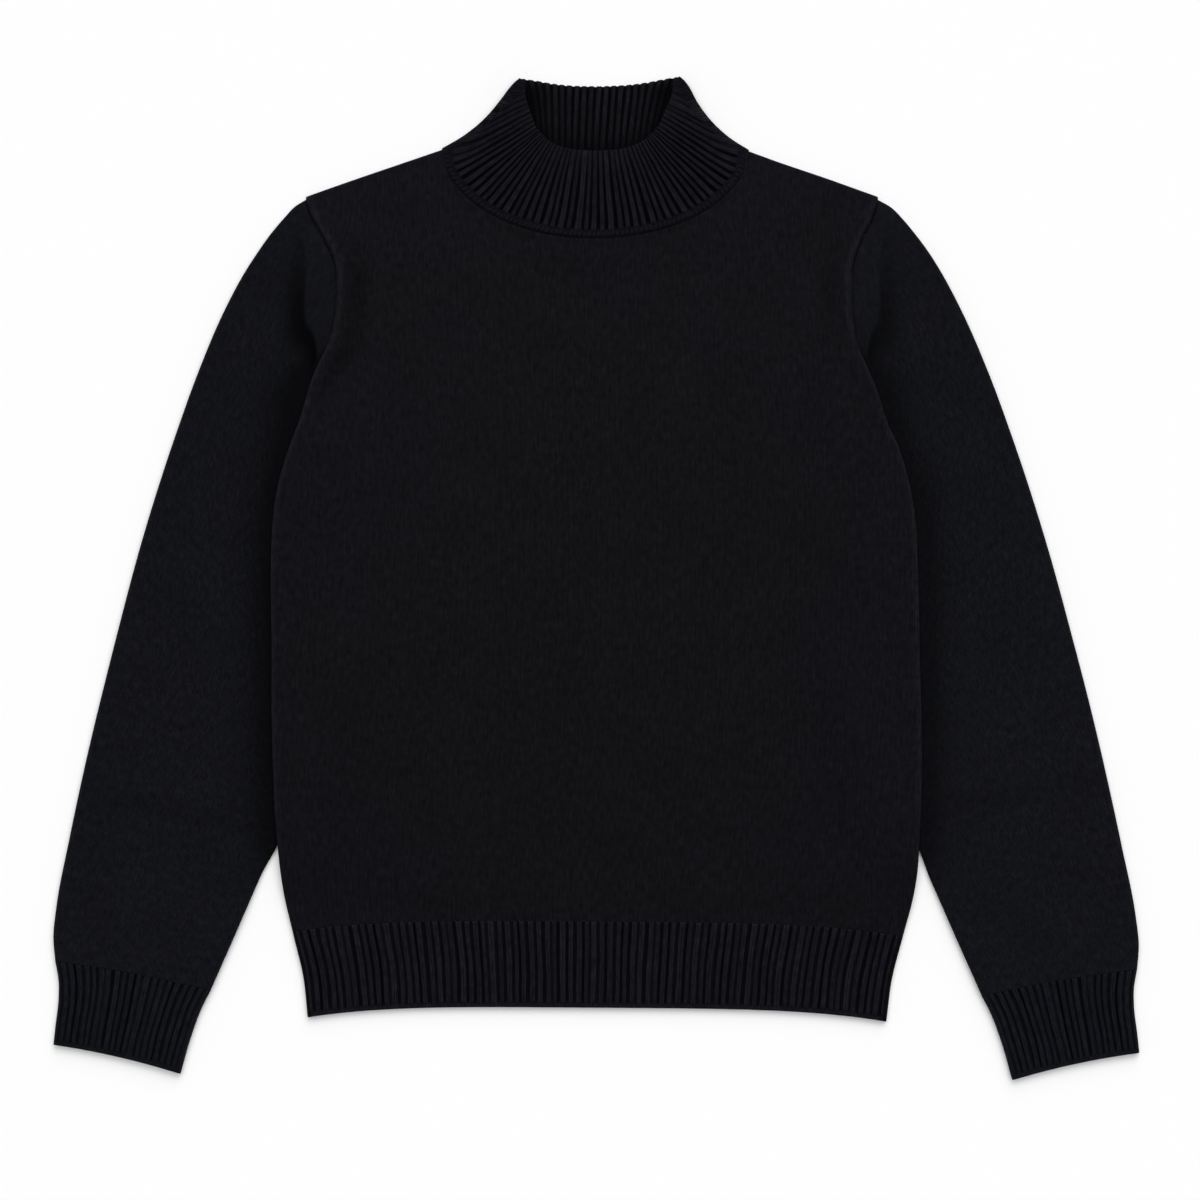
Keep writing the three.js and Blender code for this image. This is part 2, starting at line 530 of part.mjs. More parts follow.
// Half of the base seam's shape by share of its length, from the corner to the middle.
const BASE_STEPS = 200;
function baseHalf(farY) {
  const line = evenly(BASE_STEPS).map((t) => {
    const angle = t * Math.PI / 2;
    return { x: NECK.halfWidth * Math.cos(angle), y: NECK.cornerY - (NECK.cornerY - farY) * Math.sin(angle) };
  });
  const stretches = neckline(farY);
  return (share) => {
    const { x } = along(line, share);
    return { x, y: lookUp(stretches, 'x', x, 'y') };
  };
}
const BASE = { front: baseHalf(NECK.frontY), back: baseHalf(NECK.backY) };
const STRAIGHT_RIBS = { from: 0.5, share: 0.75 };   // ribs this far round hardly follow the silhouette

// Point of the collar at a turn round it (0 to 1, front first) and a level from base to mouth.
function collarPoint(turn, level, inside, height) {
  const frontSide = turn <= 0.5;
  const halves = (frontSide ? turn : turn - 0.5) * 4;
  const share = halves > 1 ? 2 - halves : halves;
  const sign = (frontSide ? 1 : -1) * (halves > 1 ? -1 : 1);
  const base = (frontSide ? BASE.front : BASE.back)(share);
  const mouth = frontSide ? MOUTH_FRONT : MOUTH_BACK;
  const side = lookUp(COLLAR_SIDE, 'level', level, 'inward');
  const inward = mix(side, level, STRAIGHT_RIBS.share * smooth(share / STRAIGHT_RIBS.from));
  const x = mix(base.x, lookUp(mouth, 'share', share, 'x'), inward);
  const y = mix(base.y, lookUp(mouth, 'share', share, 'y'), level);
  const fromFold = mix(NECK.halfWidth, MOUTH_FRONT[0].x, side) - x;
  const wallIn = inside ? COLLAR_WALL : 0;
  const moved = wallIn * Math.exp(-((fromFold / COLLAR_WALL) ** 2));
  const half = lookUp(COLLAR_CROWN, 'level', level, 'top') / 2;
  const profile = roundEdge(Math.max(fromFold - wallIn, 0), half);
  const low = (half - wallIn) * profile;
  const onRibs = level > RIBBED_LEVELS.from && level < RIBBED_LEVELS.to;
  const ridge = onRibs && frontSide !== inside ? (height - 0.5) * RIB_DEPTH * profile : 0;
  return new THREE.Vector3(sign * (x - moved), y, half + (frontSide ? low : -low) + ridge);
}

const PLAIN_TURNS = { front: 30, back: 26 };

function collar() {
  const plainTurns = (from, to, count) => evenly(count).map((t) => ({ at: mix(from, to, t), height: 0.5 }));
  const frontRibs = ribColumns(COLLAR_RIBS, 0, 0.5);
  const backRibs = ribColumns(COLLAR_BACK_RIBS, 0.5, 1);
  const outerTurns = [...frontRibs.slice(0, -1), ...plainTurns(0.5, 1, PLAIN_TURNS.back).slice(0, -1)];
  const innerTurns = [...plainTurns(0, 0.5, PLAIN_TURNS.front).slice(0, -1), ...backRibs.slice(0, -1)];
  const grid = (turns, levels, inside) => ({
    points: levels.map((level) => turns.map((turn) => collarPoint(turn.at, level, inside, turn.height))),
    columns: turns.map((turn) => turn.at),
    rows: levels,
  });
  return wall(grid(outerTurns, COLLAR_LEVELS.outer, false), grid(innerTurns, COLLAR_LEVELS.inner, true), true);
}

// Pieces

const jersey = new THREE.MeshStandardMaterial({ color: 0x121317, roughness: 0.95, metalness: 0 });
const rib = new THREE.MeshStandardMaterial({ color: 0x101115, roughness: 0.95, metalness: 0 });
const sweater = new THREE.Group();
const PIECES = [
  ['front_panel', panel(1, NECK.frontY), jersey],
  ['back_panel', panel(-1, NECK.backY), jersey],
  ['hem_rib_front', hemRib(1), rib],
  ['hem_rib_back', hemRib(-1), rib],
  ['sleeve_left', sleeve(-1), jersey],
  ['sleeve_right', sleeve(1), jersey],
  ['cuff_left', cuff(-1), rib],
  ['cuff_right', cuff(1), rib],
  ['collar', collar(), rib],
];
for (const [name, geometry, material] of PIECES) {
  const mesh = new THREE.Mesh(geometry, material);
  mesh.name = name;
  sweater.add(mesh);
}

export default sweater;
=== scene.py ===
# Mock-neck sweater laid flat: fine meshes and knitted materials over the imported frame.
# Sizes are in millimetres and turn into metres when a mesh is made.
import math

import bpy
import numpy as np
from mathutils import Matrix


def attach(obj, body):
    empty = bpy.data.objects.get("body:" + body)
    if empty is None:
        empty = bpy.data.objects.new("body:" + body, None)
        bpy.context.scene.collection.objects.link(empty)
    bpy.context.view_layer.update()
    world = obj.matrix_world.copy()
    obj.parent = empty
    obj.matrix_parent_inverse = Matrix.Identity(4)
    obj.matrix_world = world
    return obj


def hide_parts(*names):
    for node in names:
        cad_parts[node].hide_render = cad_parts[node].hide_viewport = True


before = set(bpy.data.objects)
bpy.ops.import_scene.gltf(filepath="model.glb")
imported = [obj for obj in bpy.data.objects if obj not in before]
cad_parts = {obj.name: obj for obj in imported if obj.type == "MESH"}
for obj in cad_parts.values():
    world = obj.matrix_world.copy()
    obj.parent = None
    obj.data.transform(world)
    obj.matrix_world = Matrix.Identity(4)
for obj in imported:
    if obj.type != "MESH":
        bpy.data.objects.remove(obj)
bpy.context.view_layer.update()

MM = 0.001

# Sizes of the cloth, as in the part.
JERSEY = 1.8
COLLAR_WALL = 3.0
SEAM_GAP = 0.15
BODY_HEIGHT = 5.4
SLEEVE_TUCKED = 4.8
SLEEVE_CROWN = 7.0
BODY_LIFT = 5.4
LIFT_RAMP = 45
LIFT_MARGIN = 14
CUFF_HEIGHT = 6.2
RIB_DEPTH = 2.0
HEM_RIBS = 75
CUFF_RIBS = 19
COLLAR_RIBS = 44
COLLAR_BACK_RIBS = 24
BORDER = 3.0  # width of the flat tubular edge at the foot of the hem and cuff ribs
WALE = 1.75  # width of a stitch in the jersey
COURSE = 1.3
RIB_WALE = 1.87
RIB_COURSE = 1.4
HEM_LENGTH = 60.1  # length of the ribs from the free edge to the seam
CUFF_LENGTH = 60.2
RIB_STRIP = 62  # length of a rib with its seam, on the cloth's own map
FREE_EDGE = JERSEY + 0.4  # thickness of the doubled free edge
RIB_LEVEL = 0.62  # share of a rib's height that lies below the mean surface

NECK = {"half_width": 110.2, "corner_y": 308.2, "front_y": 243.4, "back_y": 291.6}
SHOULDER = {"neck_y": 307.2, "slope": -0.358, "tip_x": 204.7}
HEM = {"centre_y": -309.6, "drop": 8.5, "half_width": 208.1}
HEM_RIB_TOP = {"centre_y": -247.7, "drop": 8.8, "half_width": 218.2}
UNDERARM = {"x": 204.5, "y": 77.0}
ARMHOLE_END = 149.8

# Rows of (y, x): the edge of the body from the hem up to the shoulder tip.
BODY_EDGE = (
    (-318, 208.1), (-287.3, 211.7), (-260, 218.2), (-229.7, 225.7), (-193, 231.3), (-137.5, 233.6),
    (-70.6, 233.9), (5, 233.3), (51.8, 230.3), (91.4, 220.2), (115.9, 211.2), (139, 203),
    (149.8, 198.2), (163.4, 192.4), (175.7, 189.4), (187.9, 187.3), (205.2, 186.8), (226.8, 188),
    (242.6, 193.3), (259.9, 201.7), (270, 204.7),
)
HIDDEN_ARMHOLE = ((77, 204.5), (91.4, 201.6), (105.8, 199.8), (127.4, 198.9), (149.8, 198.2))
# Rows of (x, y) from the shoulder or underarm to the cuff, and along the cuff.
SLEEVE_OUTER = (
    (205, 271.2), (214.6, 265.7), (223.2, 257), (230.4, 248.4), (247, 224.6), (266.4, 188.6),
    (281.9, 152.6), (301.7, 98.6), (324.7, 26.6), (344.2, -45.4), (362.2, -117.4), (378, -189.4),
    (388.1, -241.2), (390.2, -262), (388.9, -279),
)
SLEEVE_INNER = (
    (204.5, 77), (194.4, 26.6), (188.6, -31), (194, -78), (205.8, -122), (231, -193),
    (251.6, -241.2), (277, -298.8),
)
CUFF_OUTER = ((388.9, -279.2), (386.6, -293), (386.6, -304.6), (389.2, -327.6), (390.4, -339.1))
CUFF_INNER = ((277, -299), (283, -310.5), (291.6, -333.4), (299, -359.4))
CUFF_LINE_BOW = 2.0

# Rows of (y, width): the strip of sleeve that stays level with the body beside the armhole.
PLEAT = (
    (77, 2), (149.8, 2), (160.6, 8), (175, 15), (187.9, 21), (204, 28.5), (219.6, 27), (234, 21.5),
    (247, 14), (258, 6), (271, 0),
)
PLEAT_TROUGH = 3.9
PLEAT_RAISE = 1.6
PLEAT_DROP = 2.4
PLEAT_FLOOR = 5.0

# Rows of (y, share of the light that is lost): the trough outside the pleat.
PLEAT_SHADE = (
    (110, 0), (138, 0.6), (150, 0.95), (172, 0.98), (190, 0.9), (207, 0.86), (224, 0.72),
    (242, 0.36), (262, 0),
)
PLEAT_SHADE_RIGHT = 0.66  # the painted shade on the right is lighter
BODY_PAINTED_GRADE = 3000  # painted light: the body is painted a little lighter towards the shoulders
# Painted shadow on each sleeve beside the body that lies over it:
TUCK_SHADE = 0.66
TUCK_SHADE_RIGHT = 0.53
TUCK_FLOOR = 5.5  # width of the darkest strip beside the body
TUCK_WIDE = 11  # and under the arm, left and right
TUCK_WIDE_RIGHT = 6.5
SIDE_PAINTED_RIM = 0.75  # painted highlight on the body's rounded side edge
SIDE_PAINTED_RIM_RIGHT = 0.5
# Rows of (level, share of the way in from the base's width to the mouth's) up the collar's side.
COLLAR_SIDE = (
    (0, 0), (0.094, 0.154), (0.199, 0.309), (0.378, 0.526), (0.556, 0.689), (0.734, 0.817),
    (0.913, 0.93), (1, 1),
)
# Rows of (share of the way round, x, y) from the corner of the mouth to its middle, front and back.
MOUTH_FRONT = (
    (0, 61.4, 354), (0.006, 60.2, 356.9), (0.012, 57.4, 358.4), (0.02, 54.9, 357.6),
    (0.028, 53.7, 354.6), (0.05, 52.9, 350), (0.075, 52, 344.6), (0.12, 48.9, 335.6),
    (0.165, 45.7, 327.6), (0.345, 38.5, 317.5), (0.518, 31.7, 311.8), (0.777, 17, 306.9),
    (1, 0, 305.6),
)
# Rows of (share of the way round, rib that meets the mouth there). The first ones cross the side.
RIB_AT_MOUTH = (
    (0, -5), (0.03, -4.9), (0.05, -4.1), (0.075, -2.8), (0.12, -0.4), (0.165, 2.3), (0.25, 5.1),
    (0.345, 7.59), (1, 22),
)
MOUTH_BACK = (
    (0, 61.4, 354), (0.02, 60, 356.8), (0.04, 57, 358.3), (0.08, 53, 358.4), (0.11, 50.4, 358),
    (0.2, 43.2, 356.8), (0.3, 36, 355.4), (0.42, 28.8, 354.4), (0.58, 21.6, 353.6), (1, 0, 352.7),
)
# Rows of (level, top): the height of the collar's front.
COLLAR_CROWN = ((0, 6.6), (0.05, 7.4), (0.11, 7.3), (0.35, 9), (0.7, 10.6), (1, 11.2))
COLLAR_BAND = 0.078  # level at which the ribs begin, above the linked edge
COLLAR_DEPTH = 58  # way up the wall from the base to the mouth
INSIDE_PITCH = 5.3  # width of a rib on the inside of the back, at the mouth
INSIDE_CLOSING = 0.0012  # how much closer the ribs stand for each millimetre down, in the middle
INSIDE_SPLAY = 0.0046  # and how much more at the sides
# Rows of (y, x): how far the middle of the garment lies to one side, and of the body's foot beyond it.
MIDDLE = (
    (-320, 1), (-200, 0.5), (-130, 0), (0, -0.7), (120, -1.1), (230, -1.3), (306, 0.3), (330, 1.6),
    (360, 3.4),
)
BODY_FOOT = ((-320, 0.4), (-276, 1.3), (-218, 2), (-170, 0), (300, 0))
# Rows of (y, left, right): how far the body's side edges lie from their place, to the right.
BODY_SIDES = (
    (-320, 0, 0), (-218, 0, 0), (-195, 1.7, 0), (-182, 2.5, 0), (-160, 2.8, 1.1), (-125, 3.2, 1.7),
    (-89, 3.3, 1.7), (-53, 3.8, 1.2), (-17, 3.6, 0.9), (12, 3.1, 1.2), (41, 3.4, 1.3), (70, 3, 1.6),
    (91, 3, 1.4), (113, 3, -0.4), (127, 2.2, 0), (153, 0.6, 0), (171, 2.1, 0), (189, 2.5, 0),
    (207, 3.1, 0), (225, 2.1, 0), (243, 0, 0), (360, 0, 0),
)
SIDE_INWARD = 120  # how far this reaches into the body, and out into the sleeve
SIDE_OUTWARD = 22
SLANT = 0.0075  # how much lower the right side of the lower garment lies
RIM_SLANT = 0.011  # how much higher the right side of the back's rim lies
NECK_DROP = 1.1  # how much lower the right corner of the neck lies

# Soft creases, each from (x, y) to (x, y) with its half width and its depth; below 0 is a ridge.
BODY_CREASES = (
    ((126, 41), (191, -2), 8, 0.5), ((-162, -218), (-111, -232), 7, 0.45),
    ((126, -240), (159, -197), 8, 0.5), ((-171, 214), (-183, 128), 11, 0.9),
    ((176, 216), (186, 130), 10, 0.8), ((-60, 212), (40, 206), 16, 0.35),
    ((-150, 60), (-190, 10), 14, 0.4), ((60, -150), (150, -170), 16, 0.3),
    ((-30, -196), (50, -206), 13, 0.35), ((-200, 120), (-150, 100), 10, 0.35),
    ((205, 96), (160, 84), 9, 0.35), ((-120, 150), (-60, 170), 18, -0.3),
    ((30, 60), (90, 40), 22, -0.3), ((-80, -90), (-20, -110), 24, -0.25),
)
# Painted shade along soft hollows and creases, in the same form. The last number is the share of the
# light that is lost.
BODY_PAINTED_SHADE = (
    ((-171, 232), (-172, 167), 9, 0.42), ((-174, 167), (-187, 145), 9, 0.4),
    ((-187, 145), (-199, 127), 7, 0.25), ((171, 232), (171, 186), 8, 0.3),
    ((168, 182), (176, 160), 8, 0.14), ((-150, 262), (-120, 272), 9, 0.1),
    ((-60, 226), (40, 222), 9, 0.12), ((-190, -232), (-60, -238), 7, 0.12),
    ((60, -238), (190, -232), 7, 0.12), ((126, 41), (191, -2), 8, 0.1),
    ((-162, -218), (-111, -232), 7, 0.1), ((126, -240), (159, -197), 7, 0.1),
)
# Painted shade on the sleeves, in the same form.
SLEEVE_PAINTED_SHADE = (
    ((-366, -162), (-300, -172), 5, 0.16), ((-300, -172), (-238, -187), 5, 0.14),
    ((364, -140), (300, -158), 5, 0.16), ((300, -158), (240, -163), 5, 0.12),
    ((-352, -62), (-310, -74), 8, 0.08), ((340, -46), (310, -58), 8, 0.08),
    ((-330, -250), (-300, -262), 7, 0.1), ((306, -254), (338, -262), 7, 0.1),
)
SLEEVE_CREASES_LEFT = (
    ((-366, -162), (-300, -172), 6, 0.9), ((-300, -172), (-238, -187), 5, 0.7),
    ((-362, -150), (-240, -176), 8, -0.5), ((-352, -62), (-310, -74), 9, 0.35),
    ((-300, 30), (-262, 12), 10, 0.4), ((-290, 100), (-250, 84), 12, 0.35),
    ((-330, -250), (-300, -262), 7, 0.4), ((-372, -226), (-344, -262), 7, 0.4),
    ((-262, 190), (-232, 172), 9, 0.4),
)
SLEEVE_CREASES_RIGHT = (
    ((364, -140), (300, -158), 6, 0.9), ((300, -158), (240, -163), 5, 0.6),
    ((362, -128), (242, -152), 8, -0.5), ((340, -46), (310, -58), 8, 0.45),
    ((320, 24), (280, 2), 10, 0.4), ((292, 112), (256, 92), 12, 0.35),
    ((306, -254), (338, -262), 7, 0.4), ((372, -232), (350, -266), 7, 0.4),
    ((268, 182), (236, 170), 9, 0.4),
)


# Small tools for curves and grids

def smooth(value):
    value = np.clip(value, 0.0, 1.0)
    return value * value * (3.0 - 2.0 * value)


def mix(a, b, share):
    return a + (b - a) * share


def round_edge(distance, radius):
    """Share of the full height at a distance from a rounded fold."""
    return np.sqrt(1.0 - (1.0 - np.clip(distance / radius, 0.0, 1.0)) ** 2)


def curve(xs, ys):
    """A smooth function through points, with the mean slope at each of them."""
    xs = np.asarray(xs, float)
    ys = np.asarray(ys, float)
    step = np.diff(xs)
    rate = np.diff(ys) / step
    slope = np.empty_like(xs)
    slope[0] = rate[0]
    slope[-1] = rate[-1]
    slope[1:-1] = (rate[:-1] * step[1:] + rate[1:] * step[:-1]) / (step[1:] + step[:-1])

    def at(x):
        x = np.clip(x, xs[0], xs[-1])
        i = np.clip(np.searchsorted(xs, x, side="right") - 1, 0, len(step) - 1)
        t = (x - xs[i]) / step[i]
        begin = (2 * t ** 3 - 3 * t ** 2 + 1) * ys[i] + (t ** 3 - 2 * t ** 2 + t) * step[i] * slope[i]
        end = (3 * t ** 2 - 2 * t ** 3) * ys[i + 1] + (t ** 3 - t ** 2) * step[i] * slope[i + 1]
        return begin + end

    return at


def table(rows, column=1):
    return curve([row[0] for row in rows], [row[column] for row in rows])


def bell(distance, width):
    return np.exp(-((distance / width) ** 2))


def tail(distance, width, power=2):
    """1 as far as the distance 0, then dying away."""
    return np.exp(-((np.maximum(distance, 0) / width) ** power))


def path(points):
    """Point of a smooth line at a share of its length."""
    points = np.asarray(points, float)
    length = np.concatenate([[0.0], np.cumsum(np.hypot(*np.diff(points, axis=0).T))])
    length /= length[-1]
    x = curve(length, points[:, 0])
    y = curve(length, points[:, 1])
    return lambda share: (x(share), y(share))


def creases(x, y, rows):
    """What the creases or hollows in the rows take away at each point."""
    depth = np.zeros_like(x)
    for (x0, y0), (x1, y1), half_width, amount in rows:
        run_x, run_y = x1 - x0, y1 - y0
        share = ((x - x0) * run_x + (y - y0) * run_y) / (run_x ** 2 + run_y ** 2)
        near = np.clip(share, 0.0, 1.0)
        off = np.hypot(x - x0 - near * run_x, y - y0 - near * run_y)
        fade = 0.35 + 0.65 * np.sin(math.pi * near) ** 0.6
        depth += amount * fade * bell(off, half_width)
    return depth


def ripple(x, y):
    """Slow unevenness of cloth that was smoothed by hand, within a third of a millimetre."""
    sin = np.sin
    slow = sin(x * 0.043 + 1.3 * sin(y * 0.019)) * sin(y * 0.037 + 0.9 * sin(x * 0.023 + 0.7))
    quick = sin(x * 0.11 + 2.1 * sin(y * 0.043 + 0.5)) * sin(y * 0.093 + 1.7 * sin(x * 0.051))
    return 0.2 * slow + 0.08 * quick


middle = table(MIDDLE)
body_foot = table(BODY_FOOT)
body_edge = table(BODY_EDGE)
body_left = table(BODY_SIDES, 1)
body_right = table(BODY_SIDES, 2)


def as_laid(points):
    """The small unevenness with which the garment lies."""
    x = points[:, 0]
    y = points[:, 1]
    near_neck = smooth((y - 235) / 25) * (1 - smooth((np.abs(x) - 112) / 70))
    side = mix(middle(np.minimum(y, 230)), middle(np.maximum(y, 300)), near_neck)
    side = side + body_foot(y) * (1 - smooth((np.abs(x) - 229) / 12))
    from_edge = np.abs(x) - body_edge(y)
    near_edge = smooth(from_edge / SIDE_INWARD + 1) * (1 - smooth(from_edge / SIDE_OUTWARD))
    side = side + np.where(x < 0, body_left(y), body_right(y)) * near_edge
    points[:, 0] = x + side
    neck_right = smooth((x - 65) / 40) * (1 - smooth((x - 125) / 50)) * smooth((y - 265) / 30)
    rim = RIM_SLANT * x * smooth((y - 340) / 12)
    points[:, 1] = y - SLANT * x * smooth((-y - 60) / 150) - NECK_DROP * neck_right + rim


def make_piece(name, outer, inner, ring, cloth, material, painted_light=1.0, inner_painted_light=1.0):
    """A closed wall between two like grids of points. cloth holds its own sizes, for the UV map,
    and the last two the painted light and shade of each point, which scales its colour, from 0 in the
    groove of a rib."""
    rows, columns = outer.shape[:2]
    points = np.concatenate([outer.reshape(-1, 3), inner.reshape(-1, 3)])
    as_laid(points)
    number = np.arange(rows * columns).reshape(rows, columns)
    if ring:
        number = np.concatenate([number, number[:, :1]], axis=1)
    under = number + rows * columns

    def quads(*corners):
        return np.stack([numbers.ravel() for numbers in corners], axis=1)

    faces = [
        quads(number[:-1, :-1], number[:-1, 1:], number[1:, 1:], number[1:, :-1]),
        quads(under[:-1, :-1], under[1:, :-1], under[1:, 1:], under[:-1, 1:]),
        quads(number[0, :-1], under[0, :-1], under[0, 1:], number[0, 1:]),
        quads(number[-1, :-1], number[-1, 1:], under[-1, 1:], under[-1, :-1]),
    ]
    if not ring:
        faces.append(quads(number[:-1, 0], number[1:, 0], under[1:, 0], under[:-1, 0]))
        faces.append(quads(number[:-1, -1], under[:-1, -1], under[1:, -1], number[1:, -1]))
    faces = np.concatenate(faces)
    mesh = bpy.data.meshes.new(name)
    mesh.from_pydata((points * MM).tolist(), [], faces.tolist())
    if signed_volume(points, faces) < 0:
        mesh.flip_normals()
    mesh.shade_smooth()
    mesh.set_sharp_from_angle(angle=math.radians(60))
    layer = mesh.uv_layers.new(name="cloth")
    corner = np.empty(len(mesh.loops), dtype=np.int32)
    mesh.loops.foreach_get("vertex_index", corner)
    flat = np.concatenate([cloth.reshape(-1, 2), cloth.reshape(-1, 2)])
    layer.uv.foreach_set("vector", (flat[corner] * MM).astype(np.float32).ravel())
    light = [np.broadcast_to(part, (rows, columns)).ravel() for part in (painted_light, inner_painted_light)]
    return finish_piece(name, mesh, np.concatenate(light), material)


def finish_piece(name, mesh, painted_light, material):
    # Painted light and shade: the material multiplies each point's colour by this value.
    layer = mesh.attributes.new("painted_light", "FLOAT", "POINT")
    layer.data.foreach_set("value", np.asarray(painted_light, np.float32))
    mesh.materials.append(material)
    return add_object(name, mesh)


def add_object(name, data):
    made = bpy.data.objects.new(name, data)
    bpy.context.scene.collection.objects.link(made)
    return made


def signed_volume(points, faces):
    a, b, c, d = (points[faces[:, i]] for i in range(4))
    first = np.einsum("ij,ij->i", a, np.cross(b, c))
    second = np.einsum("ij,ij->i", a, np.cross(c, d))
    return (first + second).sum()


def grid_points(x, y, z):
    return np.stack([x, y, z], axis=-1)


def rib_height(phase):
    """Height of a rib across its pitch, 0 in the groove and 1 on its two wales."""
    phase = phase - np.floor(phase)
    from_middle = np.abs(phase - 0.5) * 2
    ridge = 1 - smooth((from_middle - 0.4) / 0.5)
    split = 0.14 * bell(from_middle, 0.16)
    return ridge - split


def rib_rise(phase):
    """Rise of a ribbed surface over its mean level."""
    return (rib_height(phase) - RIB_LEVEL) * RIB_DEPTH


def rib_painted_light(phase, ribbed, ridge=0.44, deep=0.16):
    """Painted light on a rib: painted shade in the groove and down its middle, a painted highlight on
    the ridge.
    """
    number = np.floor(phase)
    from_middle = np.abs(phase - number - 0.5) * 2
    ridge = ridge + 0.06 * np.sin(number * 2.7)
    groove = np.round(phase)
    deep = deep * (1 + 0.7 * np.sin(groove * 2.4) + 0.5 * np.sin(groove * 5.3 + 1))
    open_share = 1 - smooth((from_middle - ridge) / 0.36)
    # painted shade down the middle of the rib, between its two wales
    split = 0.34 * bell(from_middle, 0.13)
    # painted highlight on each ridge
    each = 1.44 + 0.12 * np.sin(number * 1.9 + 0.6)
    return mix(1.0, mix(deep, each, open_share) - split, ribbed)


def uneven(phase, along):
    """Ribs that differ a little in width and waver a little."""
    width = 0.07 * np.sin(phase * 1.37) + 0.06 * np.sin(phase * 2.9 + 1)
    return phase + width + 0.035 * np.sin(along * 0.11 + phase * 0.7)


# Shape of the body

hidden_armhole = table(HIDDEN_ARMHOLE)
pleat_width = table(PLEAT)
inner_fold = table([(y, x) for x, y in reversed(SLEEVE_INNER)] + [(150.0, 192.0), (250.0, 190.0)])


def hem_line(line, x):
    return line["centre_y"] - line["drop"] * (np.abs(x) / line["half_width"]) ** 4


def body_lift(x, y):
    """Rise of the body over the sleeve that is tucked under its side."""
    start = inner_fold(y) - LIFT_MARGIN - LIFT_RAMP
    across = smooth((np.abs(x) - start) / LIFT_RAMP)
    return BODY_LIFT * across * smooth((250 - y) / 98) * smooth((y + 258) / 60)


def neckline(across, bottom_y):
    """Height of the neck edge at a share of its half width."""
    return NECK["corner_y"] - (NECK["corner_y"] - bottom_y) * np.sqrt(np.clip(1 - across ** 2, 0, 1))


FOLD_INSETS = np.array([2.7, 2.0, 1.35, 0.8, 0.4, 0.12, 0.0])
EDGE_ZONE = 8.0  # strip along the side where the columns keep their inset from the edge
NECK_GAP = 0.12
FAR = 99.0  # stands for a distance at which an edge has no effect


def panel_columns(neck_count, shoulder_count):
    """Half columns of a panel: place at the shoulder, inset from the edge or -1, and on the neck."""
    reach = SHOULDER["tip_x"] - EDGE_ZONE
    neck = (NECK["half_width"] + NECK_GAP) * np.sin(np.linspace(0, math.pi / 2, neck_count + 1))
    shoulder = np.linspace(neck[-1], reach, shoulder_count + 1)[1:]
    insets = np.concatenate([[6.5, 5.2, 4.0, 3.3], FOLD_INSETS])
    place = np.concatenate([neck, shoulder, SHOULDER["tip_x"] - insets])
    inset = np.concatenate([np.full(len(neck) + len(shoulder), -1.0), insets])
    on_neck = np.arange(len(place)) < neck_count
    return place, inset, on_neck


